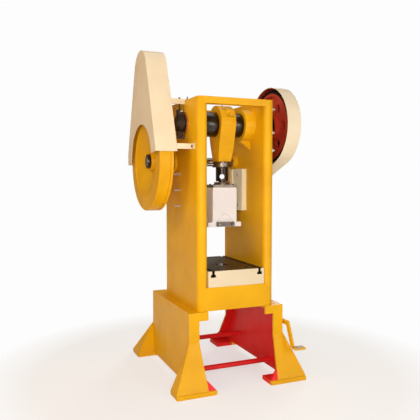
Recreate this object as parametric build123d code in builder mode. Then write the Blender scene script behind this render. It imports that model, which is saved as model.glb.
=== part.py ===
from build123d import *
import math
import os

os.makedirs("parts", exist_ok=True)

# Press frame, standing on the two stands
frame_width = 700
frame_depth = 830
frame_base = 645
column_thickness = 90
column_front_radius = 42
column_back_radius = 18
bed_thickness = 195
bolster_thickness = 135
crown_rise = 195

# Slide and linkage, from the bolster up to the crank pin
daylight = 343
ram_height = 343
ball_depth = 49
rod_length = 618
throw = 20
rod_half = 70

# Crank line, back shaft line and gears
crank_y = -105
tooth_module = 10
gear_teeth = 64
pinion_teeth = 20
back_shaft_setback = 275
pressure_angle = math.radians(20)
flank_play = 0.25

# Fits
sliding_gap = 0.3
journal_gap = 0.05
working_gap = 0.5
side_gap = 2

half_width = frame_width / 2
inner_x = half_width - column_thickness
column_centre = half_width - column_thickness / 2
front_y = -frame_depth / 2
back_y = frame_depth / 2
bed_top = frame_base + bed_thickness
bolster_top = bed_top + bolster_thickness
ram_bottom = bolster_top + daylight
ram_top = ram_bottom + ram_height
ball_height = ram_top - ball_depth
pin_z = ball_height + rod_length
crank_z = pin_z - throw
frame_top = crank_z + crown_rise
centre_distance = tooth_module * (gear_teeth + pinion_teeth) / 2
back_y_axis = crank_y + back_shaft_setback
back_z = crank_z - math.sqrt(centre_distance**2 - back_shaft_setback**2)
crank_centre = (crank_y, crank_z)
pin_centre = (crank_y, pin_z)
back_centre = (back_y_axis, back_z)


def side_plane(x):
    """Plane facing +X at the given place, drawn in Y and Z."""
    return Plane(origin=(x, 0, 0), x_dir=(0, 1, 0), z_dir=(1, 0, 0))


def front_plane(y):
    """Plane facing the front at the given place, drawn in X and Z."""
    return Plane(origin=(0, y, 0), x_dir=(1, 0, 0), z_dir=(0, -1, 0))


def wheel_plane(y, z):
    """Plane through a shaft line, drawn along the shaft and upwards."""
    return Plane(origin=(0, y, z), x_dir=(1, 0, 0), z_dir=(0, -1, 0))


def tooth_outline(teeth, phase, centre_y, centre_z):
    """Corner points of an involute gear with a tooth centred on the phase angle."""
    pitch = tooth_module * teeth / 2
    base = pitch * math.cos(pressure_angle)
    tip = pitch + tooth_module
    root = pitch - 1.25 * tooth_module
    involute = math.tan(pressure_angle) - pressure_angle
    half_pitch_angle = math.pi / (2 * teeth) - flank_play / pitch
    start = max(base, root)
    flank = []
    for step in range(5):
        radius = start + (tip - start) * step / 4
        roll = math.acos(min(1, base / radius))
        flank.append((radius, half_pitch_angle + involute - (math.tan(roll) - roll)))
    flank.insert(0, (root, flank[0][1] + flank_play / pitch))
    points = []
    for tooth in range(teeth):
        middle = phase + 2 * math.pi * tooth / teeth
        rising = [(radius, middle - half_angle) for radius, half_angle in flank]
        falling = [(radius, middle + half_angle) for radius, half_angle in reversed(flank)]
        for radius, angle in rising + falling:
            points.append((centre_y + radius * math.cos(angle), centre_z + radius * math.sin(angle)))
    return points


def tangent_corners(first, first_radius, second, second_radius):
    """Corners of the strip between the outer tangents of two circles."""
    run_y = second[0] - first[0]
    run_z = second[1] - first[1]
    lean = math.acos((first_radius - second_radius) / math.hypot(run_y, run_z))
    corners = []
    for angle in (math.atan2(run_z, run_y) + lean, math.atan2(run_z, run_y) - lean):
        ends = [(first, first_radius), (second, second_radius)]
        if corners:
            ends.reverse()
        for centre, radius in ends:
            corners.append((centre[0] + radius * math.cos(angle), centre[1] + radius * math.sin(angle)))
    return corners


def pear(first, first_radius, second, second_radius, mode=Mode.ADD):
    """Face round two circles of a guard, with the strip between them."""
    with Locations(first):
        Circle(first_radius, mode=mode)
    with Locations(second):
        Circle(second_radius, mode=mode)
    Polygon(*tangent_corners(first, first_radius, second, second_radius), align=None, mode=mode)


def bar_corners(start, end, half):
    """Corners of a straight bar of the given half width between two points."""
    length = math.hypot(end[0] - start[0], end[1] - start[1])
    across_y = -(end[1] - start[1]) / length * half
    across_z = (end[0] - start[0]) / length * half
    return [
        (start[0] + across_y, start[1] + across_z),
        (end[0] + across_y, end[1] + across_z),
        (end[0] - across_y, end[1] - across_z),
        (start[0] - across_y, start[1] - across_z),
    ]


# Press frame
bed_pocket_margin = 90
bed_pocket_depth = 150
bed_wall = 135
lintel_height = 55
lintel_depth = 85
rear_beam_height = 120
rear_beam_depth = 60
rear_beam_drop = 12
boss_radius = 142
left_boss_length = 50
right_boss_length = 95
bosses = ((-1, left_boss_length), (1, right_boss_length))
crank_bush_radius = 95
rib_thickness = 60
rib_drop = 70
shaft_boss_radius = 61
shaft_boss_length = 45
shaft_boss_face = inner_x - shaft_boss_length
shaft_bush_radius = 50
guide_bottom = ram_bottom + 132
guide_top_drop = 380
guide_top = crank_z - guide_top_drop
guide_bolt_radius = 8
guide_bolt_y = 17
guide_bolt_margin = 50
guide_bolt_pitch = (guide_top - guide_bottom) / 2 - guide_bolt_margin
guide_bolt_heights = [guide_bottom + guide_bolt_margin + row * guide_bolt_pitch for row in range(3)]
guide_hole_radius = guide_bolt_radius + working_gap
guide_bolt_places = [(guide_bolt_y, height) for height in guide_bolt_heights]
foundation_bolt_radius = 12
frame_bolt_inset = 40
frame_bolt_end_margin = 65
frame_bolt_middle = 120
frame_bolt_rows = (frame_depth / 2 - frame_bolt_end_margin, frame_bolt_middle)
frame_bolt_places = [
    (side * (half_width - frame_bolt_inset), end * row)
    for side in (-1, 1)
    for end in (-1, 1)
    for row in frame_bolt_rows
]
frame_bolt_depth = 60
slug_hole_radius = 55
bolster_bolt_x = 130
bolster_bolt_margin = 85
bolster_bolt_places = [
    (side * bolster_bolt_x, end * (frame_depth / 2 - bolster_bolt_margin))
    for side in (-1, 1)
    for end in (-1, 1)
]
bolster_bolt_radius = 10
bolster_bolt_reach = 38
housing_bolt_circle = 78
housing_bolt_radius = 6
housing_bolt_reach = 30
guard_bolt_radius = 6
guard_bolt_reach = 40
belt_strap_bolt = (back_y_axis - 474, back_z + 114)
belt_stud_place = (30 - half_width, crank_y + 15)
brake_anchor_place = (crank_y, crank_z - 116)
brake_anchor_radius = 10
trip_pivot_place = (crank_y + 165, crank_z - 225)
trip_pivot_radius = 12

# Straps of the gear guard, each a place on the guard's rim and the way its foot points
gear_guard_radius = 352
gear_guard_small = 165
strap_bolt_run = 33
gear_straps = (
    (crank_y + gear_guard_radius, crank_z, 0),
    (back_y_axis + gear_guard_small, back_z, 0),
    (back_y_axis, back_z - gear_guard_small, -90),
)
gear_guard_bolts = [
    (y + strap_bolt_run * math.cos(math.radians(turn)), z + strap_bolt_run * math.sin(math.radians(turn)))
    for y, z, turn in gear_straps
]

with BuildPart() as press_frame:
    # Two columns with rounded edges, joined by the bed, the front lintel and the rear beam
    with BuildSketch(Plane.XY.offset(frame_base)) as column_plan:
        with Locations((column_centre, 0), (-column_centre, 0)):
            Rectangle(column_thickness, frame_depth)
        fillet(column_plan.vertices().group_by(Axis.Y)[0], column_front_radius)
        fillet(column_plan.vertices().group_by(Axis.Y)[-1], column_back_radius)
    extrude(amount=frame_top - frame_base)
    with BuildSketch(Plane.XY.offset(frame_base)) as bed_plan:
        Rectangle(2 * inner_x + column_thickness, frame_depth)
    extrude(amount=bed_thickness)
    with BuildSketch(Plane.XY.offset(frame_base)) as bed_pocket:
        with Locations((inner_x / 2, 0), (-inner_x / 2, 0)):
            Rectangle(inner_x - bed_wall, frame_depth - 2 * bed_pocket_margin)
    extrude(amount=bed_pocket_depth, mode=Mode.SUBTRACT)
    with BuildSketch(Plane.XY.offset(frame_top)) as lintel_plan:
        with Locations((0, front_y + lintel_depth / 2)):
            Rectangle(2 * inner_x + column_thickness, lintel_depth)
    extrude(amount=-lintel_height)
    with BuildSketch(Plane.XY.offset(frame_top - rear_beam_drop)) as beam_plan:
        with Locations((0, back_y - column_back_radius - rear_beam_depth / 2)):
            Rectangle(2 * inner_x + column_thickness, rear_beam_depth)
    extrude(amount=-rear_beam_height)
    # Crank bosses with a rib under each, and the back shaft bosses
    for side, boss_length in bosses:
        with BuildSketch(side_plane(side * inner_x)) as crank_boss:
            with Locations(crank_centre):
                Circle(boss_radius)
        extrude(amount=-side * boss_length)
        with BuildSketch(front_plane(crank_y)) as boss_rib:
            with BuildLine():
                Polyline(
                    (side * (inner_x - boss_length), crank_z - boss_radius / 2),
                    (side * (inner_x - boss_length), crank_z - boss_radius + side_gap),
                    (side * inner_x, crank_z - boss_radius - rib_drop),
                    (side * inner_x, crank_z - boss_radius / 2),
                    close=True,
                )
            make_face()
        extrude(amount=rib_thickness / 2, both=True)
    with BuildSketch(side_plane(shaft_boss_face), side_plane(-inner_x)) as shaft_bosses:
        with Locations(back_centre):
            Circle(shaft_boss_radius)
    extrude(amount=shaft_boss_length)
    # Bores through both columns
    with BuildSketch(side_plane(-half_width)) as shaft_bores:
        with Locations(crank_centre):
            Circle(crank_bush_radius)
        with Locations(back_centre):
            Circle(shaft_bush_radius)
        with Locations(*guide_bolt_places):
            Circle(guide_hole_radius)
    extrude(amount=frame_width, mode=Mode.SUBTRACT)
    # Threaded holes for what is bolted to the frame
    for side in (-1, 1):
        with BuildSketch(side_plane(side * half_width)) as housing_threads:
            with Locations(back_centre):
                with PolarLocations(housing_bolt_circle, 4, start_angle=45):
                    Circle(housing_bolt_radius)
        extrude(amount=-side * housing_bolt_reach, mode=Mode.SUBTRACT)
    with BuildSketch(side_plane(half_width)) as right_threads:
        with Locations(*gear_guard_bolts):
            Circle(guard_bolt_radius)
        with Locations(trip_pivot_place):
            Circle(trip_pivot_radius)
    extrude(amount=-guard_bolt_reach, mode=Mode.SUBTRACT)
    with BuildSketch(side_plane(-half_width)) as left_threads:
        with Locations(belt_strap_bolt):
            Circle(guard_bolt_radius)
        with Locations(brake_anchor_place):
            Circle(brake_anchor_radius)
    extrude(amount=guard_bolt_reach, mode=Mode.SUBTRACT)
    with BuildSketch(Plane.XY.offset(frame_top)) as stud_thread:
        with Locations(belt_stud_place):
            Circle(guard_bolt_radius)
    extrude(amount=-guard_bolt_reach, mode=Mode.SUBTRACT)
    with BuildSketch(Plane.XY.offset(frame_base)) as base_threads:
        with Locations(*frame_bolt_places):
            Circle(foundation_bolt_radius)
    extrude(amount=frame_bolt_depth, mode=Mode.SUBTRACT)
    with BuildSketch(Plane.XY.offset(bed_top)) as bed_holes:
        with Locations(*bolster_bolt_places):
            Circle(bolster_bolt_radius)
    extrude(amount=-bolster_bolt_reach, mode=Mode.SUBTRACT)
    with BuildSketch(Plane.XY.offset(frame_base)) as slug_hole:
        with Locations((0, crank_y)):
            Circle(slug_hole_radius)
    extrude(amount=bed_thickness, mode=Mode.SUBTRACT)
press_frame.part.label = "press_frame"
export_step(press_frame.part, "parts/press_frame.step")

# Stands
stand_outer_x = half_width + 86
web_thickness = 22
leg_plate = 20
leg_width = 91
leg_inner_x = stand_outer_x - leg_width
pad_inner_x = half_width - 85
pad_height = 71
top_plate = 25
stand_front_y = front_y - 15
stand_rear_y = back_y + 160
front_knee = 395
rear_knee = 330
front_toe_y = stand_front_y - 145
front_heel_y = front_toe_y + 165
rear_toe_y = stand_rear_y + 190
rear_heel_y = rear_toe_y - 205
foot_outer_x = stand_outer_x + 154
foot_inner_x = half_width - 100
foot_height = 35
web_bottom = foot_height + 3
gusset_height = 120
frame_bolt_clear = foundation_bolt_radius + working_gap
anchor_hole_radius = 14
anchor_inset = 50
anchor_x = foot_inner_x + anchor_inset
anchor_places = [(anchor_x, front_heel_y - 60), (anchor_x, rear_heel_y + 80)]
bar_places = [(-230, 100), (430, 165)]
bar_radius = 22
pedal_setback = 130
pedal_pivot_place = (stand_front_y + pedal_setback, 488)
pedal_pin_radius = 14
pedal_boss_radius = 30
pedal_boss_length = 14

for side, stand_name in ((-1, "left_stand"), (1, "right_stand")):
    with BuildPart() as stand:
        # Web panel between the legs
        with BuildSketch(side_plane(side * stand_outer_x)) as web:
            with BuildLine():
                Polyline(
                    (stand_front_y, frame_base),
                    (stand_rear_y, frame_base),
                    (stand_rear_y, rear_knee),
                    (rear_toe_y - leg_plate, web_bottom),
                    (rear_heel_y, web_bottom),
                    (front_heel_y, web_bottom),
                    (front_toe_y + leg_plate, web_bottom),
                    (stand_front_y, front_knee),
                    close=True,
                )
            make_face()
        extrude(amount=-side * web_thickness)
        # Top plate under the frame
        with BuildSketch(Plane.XY.offset(frame_base)) as top_face:
            with Locations((side * (stand_outer_x + pad_inner_x) / 2, (stand_front_y + stand_rear_y) / 2)):
                Rectangle(stand_outer_x - pad_inner_x, stand_rear_y - stand_front_y)
        extrude(amount=-top_plate)
        # Leg plates, upright above the knee and splayed below it
        leg_runs = (
            (stand_front_y, front_toe_y, front_knee, leg_plate),
            (stand_rear_y, rear_toe_y, rear_knee, -leg_plate),
        )
        for top_y, toe_y, knee, depth in leg_runs:
            with BuildSketch(side_plane(side * foot_inner_x)) as leg_run:
                with BuildLine():
                    Polyline(
                        (top_y, frame_base),
                        (top_y, knee),
                        (toe_y, 0),
                        (toe_y + depth, 0),
                        (top_y + depth, knee),
                        (top_y + depth, frame_base),
                        close=True,
                    )
                make_face()
            leg_band = extrude(amount=side * (foot_outer_x - foot_inner_x), mode=Mode.PRIVATE)
            with BuildSketch(front_plane(0)) as leg_face:
                with BuildLine():
                    Polyline(
                        (side * stand_outer_x, frame_base),
                        (side * pad_inner_x, frame_base),
                        (side * pad_inner_x, frame_base - pad_height),
                        (side * leg_inner_x, frame_base - pad_height),
                        (side * leg_inner_x, knee),
                        (side * (leg_inner_x - leg_plate), gusset_height),
                        (side * foot_inner_x, foot_height),
                        (side * foot_inner_x, 0),
                        (side * foot_outer_x, 0),
                        (side * foot_outer_x, foot_height),
                        (side * stand_outer_x, knee),
                        close=True,
                    )
                make_face()
            leg_prism = extrude(amount=2 * rear_toe_y, both=True, mode=Mode.PRIVATE)
            add(leg_band & leg_prism)
        # Feet and the wedges that carry the splay outwards
        for toe_y, heel_y, top_y, knee in (
            (front_toe_y, front_heel_y, stand_front_y, front_knee),
            (rear_toe_y, rear_heel_y, stand_rear_y, rear_knee),
        ):
            with BuildSketch(Plane.XY) as foot:
                with Locations((side * (foot_outer_x + foot_inner_x) / 2, (toe_y + heel_y) / 2)):
                    Rectangle(foot_outer_x - foot_inner_x, abs(toe_y - heel_y))
            extrude(amount=foot_height)
            with BuildSketch(side_plane(side * (stand_outer_x - web_thickness))) as wedge_side:
                with BuildLine():
                    Polyline((top_y, knee), (toe_y, 0), (heel_y, 0), close=True)
                make_face()
            wedge_run = foot_outer_x - stand_outer_x + web_thickness
            wedge_band = extrude(amount=side * wedge_run, mode=Mode.PRIVATE)
            with BuildSketch(front_plane(0)) as wedge_face:
                with BuildLine():
                    Polyline(
                        (side * (stand_outer_x - web_thickness), knee),
                        (side * stand_outer_x, knee),
                        (side * foot_outer_x, foot_height),
                        (side * foot_outer_x, 0),
                        (side * (stand_outer_x - web_thickness), 0),
                        close=True,
                    )
                make_face()
            wedge_prism = extrude(amount=2 * rear_toe_y, both=True, mode=Mode.PRIVATE)
            add(wedge_band & wedge_prism)
        if side > 0:
            with BuildSketch(side_plane(stand_outer_x)) as pivot_boss:
                with Locations(pedal_pivot_place):
                    Circle(pedal_boss_radius)
            extrude(amount=pedal_boss_length)
            with BuildSketch(side_plane(stand_outer_x - web_thickness)) as pivot_bore:
                with Locations(pedal_pivot_place):
                    Circle(pedal_pin_radius)
            extrude(amount=web_thickness + pedal_boss_length, mode=Mode.SUBTRACT)
        # Holes for the frame bolts and the floor bolts
        with BuildSketch(Plane.XY.offset(frame_base)) as bolt_holes:
            with Locations(*[place for place in frame_bolt_places if place[0] * side > 0]):
                Circle(frame_bolt_clear)
        extrude(amount=-top_plate, mode=Mode.SUBTRACT)
        with BuildSketch(Plane.XY) as anchor_holes:
            with Locations(*[(side * x, y) for x, y in anchor_places]):
                Circle(anchor_hole_radius)
        extrude(amount=foot_height, mode=Mode.SUBTRACT)
    stand.part.label = stand_name
    export_step(stand.part, f"parts/{stand_name}.step")

# Bars between the webs of the two stands
web_face = stand_outer_x - web_thickness
with BuildPart() as tie_bars:
    with BuildSketch(side_plane(-web_face)) as bar_ends:
        with Locations(*bar_places):
            Circle(bar_radius)
    extrude(amount=2 * web_face)
tie_bars.part.label = "tie_bars"
export_step(tie_bars.part, "parts/tie_bars.step")

# Bolts that hold the frame down on the stands
frame_bolt_head = 19
frame_bolt_head_height = 15
with BuildPart() as frame_bolts:
    with BuildSketch(Plane.XY.offset(frame_base - top_plate)) as frame_bolt_heads:
        with Locations(*frame_bolt_places):
            RegularPolygon(frame_bolt_head, 6)
    extrude(amount=-frame_bolt_head_height)
    with BuildSketch(Plane.XY.offset(frame_base - top_plate)) as frame_bolt_shanks:
        with Locations(*frame_bolt_places):
            Circle(foundation_bolt_radius)
    extrude(amount=top_plate + frame_bolt_depth)
frame_bolts.part.label = "frame_bolts"
export_step(frame_bolts.part, "parts/frame_bolts.step")

# Bolster plate on the bed
bolster_half_width = inner_x - side_gap
bolster_back_y = back_y - 30
slot_place_x = inner_x - 45
slot_throat = 22
slot_base = 44
slot_base_height = 22
slot_depth = 52
bolster_head_radius = 17
bolster_head_height = 20
with BuildPart() as bolster:
    with BuildSketch(Plane.XY.offset(bed_top)) as bolster_plan:
        with Locations((0, (front_y + bolster_back_y) / 2)):
            Rectangle(2 * bolster_half_width, bolster_back_y - front_y)
        with Locations((0, crank_y)):
            Circle(slug_hole_radius, mode=Mode.SUBTRACT)
        with Locations(*bolster_bolt_places):
            Circle(bolster_bolt_radius + working_gap, mode=Mode.SUBTRACT)
    extrude(amount=bolster_thickness)
    with BuildSketch(front_plane(bolster_back_y)) as slots:
        with Locations(
            (slot_place_x, bolster_top - slot_depth / 2),
            (-slot_place_x, bolster_top - slot_depth / 2),
        ):
            Rectangle(slot_throat, slot_depth)
        with Locations(
            (slot_place_x, bolster_top - slot_depth + slot_base_height / 2),
            (-slot_place_x, bolster_top - slot_depth + slot_base_height / 2),
        ):
            Rectangle(slot_base, slot_base_height)
    extrude(amount=bolster_back_y - front_y, mode=Mode.SUBTRACT)
    with BuildSketch(Plane.XY.offset(bolster_top)) as head_pockets:
        with Locations(*bolster_bolt_places):
            Circle(bolster_head_radius + side_gap)
    extrude(amount=-(bolster_head_height + side_gap), mode=Mode.SUBTRACT)
bolster.part.label = "bolster"
export_step(bolster.part, "parts/bolster.step")

bolster_head_seat = bolster_top - bolster_head_height - side_gap
socket_size = 10
with BuildPart() as bolster_bolts:
    with BuildSketch(Plane.XY.offset(bolster_head_seat)) as bolster_heads:
        with Locations(*bolster_bolt_places):
            Circle(bolster_head_radius)
    extrude(amount=bolster_head_height)
    with BuildSketch(Plane.XY.offset(bolster_head_seat + bolster_head_height)) as bolster_sockets:
        with Locations(*bolster_bolt_places):
            RegularPolygon(socket_size, 6)
    extrude(amount=-bolster_head_height / 2, mode=Mode.SUBTRACT)
    with BuildSketch(Plane.XY.offset(bolster_head_seat)) as bolster_shanks:
        with Locations(*bolster_bolt_places):
            Circle(bolster_bolt_radius)
    extrude(amount=-(bolster_head_seat - bed_top + bolster_bolt_reach))
bolster_bolts.part.label = "bolster_bolts"
export_step(bolster_bolts.part, "parts/bolster_bolts.step")

# Bronze bushes in the frame for the crankshaft and the back shaft
journal_radius = 75
back_shaft_radius = 40
bush_rise = 12
barrel_length = 50
with BuildPart() as crank_bushes:
    for side, boss_length in bosses:
        with BuildSketch(side_plane(side * (half_width + bush_rise))) as crank_bush_ring:
            with Locations(crank_centre):
                Circle(crank_bush_radius)
                Circle(journal_radius + journal_gap, mode=Mode.SUBTRACT)
        extrude(amount=-side * (bush_rise + column_thickness + boss_length))
crank_bushes.part.label = "crank_bushes"
export_step(crank_bushes.part, "parts/crank_bushes.step")

with BuildPart() as back_shaft_bushes:
    with BuildSketch(side_plane(shaft_boss_face), side_plane(-half_width - barrel_length)) as shaft_bush_rings:
        with Locations((back_y_axis, back_z)):
            Circle(shaft_bush_radius)
            Circle(back_shaft_radius + journal_gap, mode=Mode.SUBTRACT)
    extrude(amount=half_width + barrel_length - shaft_boss_face)
back_shaft_bushes.part.label = "back_shaft_bushes"
export_step(back_shaft_bushes.part, "parts/back_shaft_bushes.step")

housing_flange_radius = 95
housing_flange_thickness = 24
housing_barrel_radius = 68
with BuildPart() as shaft_housings:
    with BuildSketch(side_plane(half_width), side_plane(-half_width - housing_flange_thickness)) as flanges:
        with Locations((back_y_axis, back_z)):
            Circle(housing_flange_radius)
            Circle(shaft_bush_radius, mode=Mode.SUBTRACT)
            with PolarLocations(housing_bolt_circle, 4, start_angle=45):
                Circle(housing_bolt_radius + working_gap, mode=Mode.SUBTRACT)
    extrude(amount=housing_flange_thickness)
    with BuildSketch(
        side_plane(half_width + housing_flange_thickness), side_plane(-half_width - barrel_length)
    ) as barrels:
        with Locations((back_y_axis, back_z)):
            Circle(housing_barrel_radius)
            Circle(shaft_bush_radius, mode=Mode.SUBTRACT)
    extrude(amount=barrel_length - housing_flange_thickness)
shaft_housings.part.label = "shaft_housings"
export_step(shaft_housings.part, "parts/shaft_housings.step")

housing_head_radius = 9
housing_head_height = 8
with BuildPart() as housing_bolts:
    for side in (-1, 1):
        with BuildSketch(side_plane(side * (half_width + housing_flange_thickness))) as housing_heads:
            with Locations((back_y_axis, back_z)):
                with PolarLocations(housing_bolt_circle, 4, start_angle=45):
                    RegularPolygon(housing_head_radius, 6)
        extrude(amount=side * housing_head_height)
        with BuildSketch(side_plane(side * (half_width + housing_flange_thickness))) as housing_shanks:
            with Locations((back_y_axis, back_z)):
                with PolarLocations(housing_bolt_circle, 4, start_angle=45):
                    Circle(housing_bolt_radius)
        extrude(amount=-side * (housing_flange_thickness + housing_bolt_reach))
housing_bolts.part.label = "housing_bolts"
export_step(housing_bolts.part, "parts/housing_bolts.step")

# Crankshaft with round webs either side of the offset pin
web_radius = 107.5
pin_radius = 80
stub_radius = 45
pin_half = rod_half + side_gap
left_web_end = inner_x - left_boss_length - working_gap
right_web_end = inner_x - right_boss_length - working_gap
bush_face = half_width + bush_rise
brake_inner_x = bush_face + side_gap
brake_outer_x = brake_inner_x + 61
crank_left_end = brake_outer_x + 8
collar_inner_x = bush_face + side_gap
collar_outer_x = collar_inner_x + 91
gear_hub_inner_x = collar_outer_x + 7
gear_hub_outer_x = gear_hub_inner_x + 104
key_half = 10
key_height = 12
brake_key_length = 50
collar_key_length = collar_outer_x - collar_inner_x
end_bolt_circle = 45
end_bolt_radius = 6
end_bolt_reach = 30
with BuildPart() as crankshaft:
    with BuildSketch(wheel_plane(crank_y, crank_z)) as crank_profile:
        with BuildLine():
            Polyline(
                (-crank_left_end, 0),
                (-crank_left_end, stub_radius - side_gap),
                (-crank_left_end + side_gap, stub_radius),
                (-brake_inner_x, stub_radius),
                (-brake_inner_x, journal_radius),
                (-left_web_end, journal_radius),
                (-left_web_end, web_radius),
                (-pin_half, web_radius),
                (-pin_half, 0),
                close=True,
            )
        make_face()
        with BuildLine():
            Polyline(
                (pin_half, 0),
                (pin_half, web_radius),
                (right_web_end, web_radius),
                (right_web_end, journal_radius),
                (gear_hub_outer_x, journal_radius),
                (gear_hub_outer_x, 0),
                close=True,
            )
        make_face()
    revolve(axis=Axis((0, crank_y, crank_z), (1, 0, 0)))
    with BuildSketch(side_plane(-pin_half)) as crank_pin:
        with Locations(pin_centre):
            Circle(pin_radius)
    extrude(amount=2 * pin_half)
    with BuildSketch(side_plane(-brake_outer_x)) as brake_key_way:
        with Locations((crank_y, crank_z + stub_radius)):
            Rectangle(2 * key_half, key_height)
    extrude(amount=brake_key_length, mode=Mode.SUBTRACT)
    with BuildSketch(side_plane(collar_inner_x)) as collar_key_way:
        with Locations((crank_y, crank_z + journal_radius)):
            Rectangle(2 * key_half, key_height)
    extrude(amount=collar_key_length, mode=Mode.SUBTRACT)
    with BuildSketch(side_plane(gear_hub_outer_x)) as end_threads:
        with Locations(crank_centre):
            with PolarLocations(end_bolt_circle, 3):
                Circle(end_bolt_radius)
    extrude(amount=-end_bolt_reach, mode=Mode.SUBTRACT)
crankshaft.part.label = "crankshaft"
export_step(crankshaft.part, "parts/crankshaft.step")

with BuildPart() as crank_keys:
    with BuildSketch(side_plane(-brake_outer_x)) as brake_key:
        with Locations((crank_y, crank_z + stub_radius)):
            Rectangle(2 * key_half, key_height)
    extrude(amount=brake_key_length)
    with BuildSketch(side_plane(collar_inner_x)) as collar_key:
        with Locations((crank_y, crank_z + journal_radius)):
            Rectangle(2 * key_half, key_height)
    extrude(amount=collar_key_length)
crank_keys.part.label = "crank_keys"
export_step(crank_keys.part, "parts/crank_keys.step")

# Clutch collar keyed to the crankshaft beside the free gear
collar_radius = 125
stop_notch_width = 26
stop_notch_depth = 12
stop_angle = -30
with BuildPart() as clutch_collar:
    with BuildSketch(side_plane(collar_inner_x)) as collar_ring:
        with Locations((crank_y, crank_z)):
            Circle(collar_radius)
            Circle(journal_radius, mode=Mode.SUBTRACT)
        with Locations((crank_y, crank_z + journal_radius)):
            Rectangle(2 * key_half, key_height, mode=Mode.SUBTRACT)
        with Locations((crank_y, crank_z)):
            with PolarLocations(collar_radius, 1, start_angle=stop_angle):
                Rectangle(2 * stop_notch_depth, stop_notch_width, mode=Mode.SUBTRACT)
    extrude(amount=collar_outer_x - collar_inner_x)
clutch_collar.part.label = "clutch_collar"
export_step(clutch_collar.part, "parts/clutch_collar.step")

# Plate and screws that keep the gear on the shaft end
end_plate_radius = 95
end_plate_thickness = 8
end_head_height = 6
end_head_radius = 9
with BuildPart() as end_plate:
    with BuildSketch(side_plane(gear_hub_outer_x + working_gap)) as end_plate_face:
        with Locations((crank_y, crank_z)):
            Circle(end_plate_radius)
            with PolarLocations(end_bolt_circle, 3):
                Circle(end_bolt_radius + working_gap, mode=Mode.SUBTRACT)
    extrude(amount=end_plate_thickness)
    with BuildSketch(side_plane(gear_hub_outer_x)) as end_spigot:
        with Locations((crank_y, crank_z)):
            Circle(journal_radius - side_gap)
            with PolarLocations(end_bolt_circle, 3):
                Circle(end_bolt_radius + working_gap, mode=Mode.SUBTRACT)
    extrude(amount=working_gap)
end_plate.part.label = "end_plate"
export_step(end_plate.part, "parts/end_plate.step")

end_plate_face_x = gear_hub_outer_x + working_gap + end_plate_thickness
with BuildPart() as end_plate_bolts:
    with BuildSketch(side_plane(end_plate_face_x)) as end_heads:
        with Locations((crank_y, crank_z)):
            with PolarLocations(end_bolt_circle, 3):
                RegularPolygon(end_head_radius, 6)
    extrude(amount=end_head_height)
    with BuildSketch(side_plane(end_plate_face_x)) as end_shanks:
        with Locations((crank_y, crank_z)):
            with PolarLocations(end_bolt_circle, 3):
                Circle(end_bolt_radius)
    extrude(amount=-(end_plate_face_x - gear_hub_outer_x + end_bolt_reach))
end_plate_bolts.part.label = "end_plate_bolts"
export_step(end_plate_bolts.part, "parts/end_plate_bolts.step")

# Bull gear turning free on the crankshaft
gear_inner_x = gear_hub_inner_x + 18
gear_outer_x = gear_inner_x + 80
gear_rim_radius = 275
gear_web_half = 13
gear_hub_radius = 125
gear_bush_radius = 88
lightening_circle = 180
lightening_radius = 40
gear_middle_x = (gear_inner_x + gear_outer_x) / 2
mesh_angle = math.atan2(back_z - crank_z, back_y_axis - crank_y)
gear_phase = mesh_angle + math.pi / gear_teeth
with BuildPart() as bull_gear:
    with BuildSketch(side_plane(gear_inner_x)) as gear_outline:
        with BuildLine():
            Polyline(*tooth_outline(gear_teeth, gear_phase, crank_y, crank_z), close=True)
        make_face()
        with Locations((crank_y, crank_z)):
            Circle(gear_rim_radius, mode=Mode.SUBTRACT)
    extrude(amount=gear_outer_x - gear_inner_x)
    with BuildSketch(side_plane(gear_middle_x - gear_web_half)) as gear_web:
        with Locations((crank_y, crank_z)):
            Circle(gear_rim_radius)
            Circle(gear_bush_radius, mode=Mode.SUBTRACT)
            with PolarLocations(lightening_circle, 6):
                Circle(lightening_radius, mode=Mode.SUBTRACT)
    extrude(amount=2 * gear_web_half)
    with BuildSketch(side_plane(gear_hub_inner_x)) as gear_hub:
        with Locations((crank_y, crank_z)):
            Circle(gear_hub_radius)
            Circle(gear_bush_radius, mode=Mode.SUBTRACT)
    extrude(amount=gear_hub_outer_x - gear_hub_inner_x)
bull_gear.part.label = "bull_gear"
export_step(bull_gear.part, "parts/bull_gear.step")

with BuildPart() as gear_bush:
    with BuildSketch(side_plane(gear_hub_inner_x)) as gear_bush_ring:
        with Locations((crank_y, crank_z)):
            Circle(gear_bush_radius)
            Circle(journal_radius + journal_gap, mode=Mode.SUBTRACT)
    extrude(amount=gear_hub_outer_x - gear_hub_inner_x)
gear_bush.part.label = "gear_bush"
export_step(gear_bush.part, "parts/gear_bush.step")

# Back shaft, pinion and flywheel
pinion_overlap = 4
pinion_inner_x = gear_inner_x - pinion_overlap
pinion_outer_x = gear_outer_x + pinion_overlap
wheel_hub_inner_x = half_width + 92
wheel_hub_outer_x = wheel_hub_inner_x + 141
wheel_inner_x = wheel_hub_inner_x + 63
wheel_outer_x = wheel_inner_x + 120
shaft_left_end = wheel_hub_outer_x + 29
wheel_radius = 437
wheel_band = 318
wheel_hub_radius = 92
wheel_nose_radius = 74
wheel_web = 34
wheel_dish = 80
groove_x = wheel_inner_x + 29
groove_width = 8
groove_depth = 7
rim_rise = 6
wheel_nut_radius = 64
wheel_nut_thickness = 20
shaft_key_half = 10
shaft_key_height = 10
with BuildPart() as back_shaft:
    with BuildSketch(side_plane(-shaft_left_end)) as shaft_round:
        with Locations((back_y_axis, back_z)):
            Circle(back_shaft_radius)
    extrude(amount=shaft_left_end + pinion_outer_x)
    with BuildSketch(side_plane(-wheel_hub_outer_x), side_plane(pinion_inner_x)) as shaft_key_ways:
        with Locations((back_y_axis, back_z + back_shaft_radius)):
            Rectangle(2 * shaft_key_half, shaft_key_height)
    extrude(amount=pinion_outer_x - pinion_inner_x, mode=Mode.SUBTRACT)
    chamfer(back_shaft.edges().group_by(Axis.X)[0], side_gap)
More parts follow.
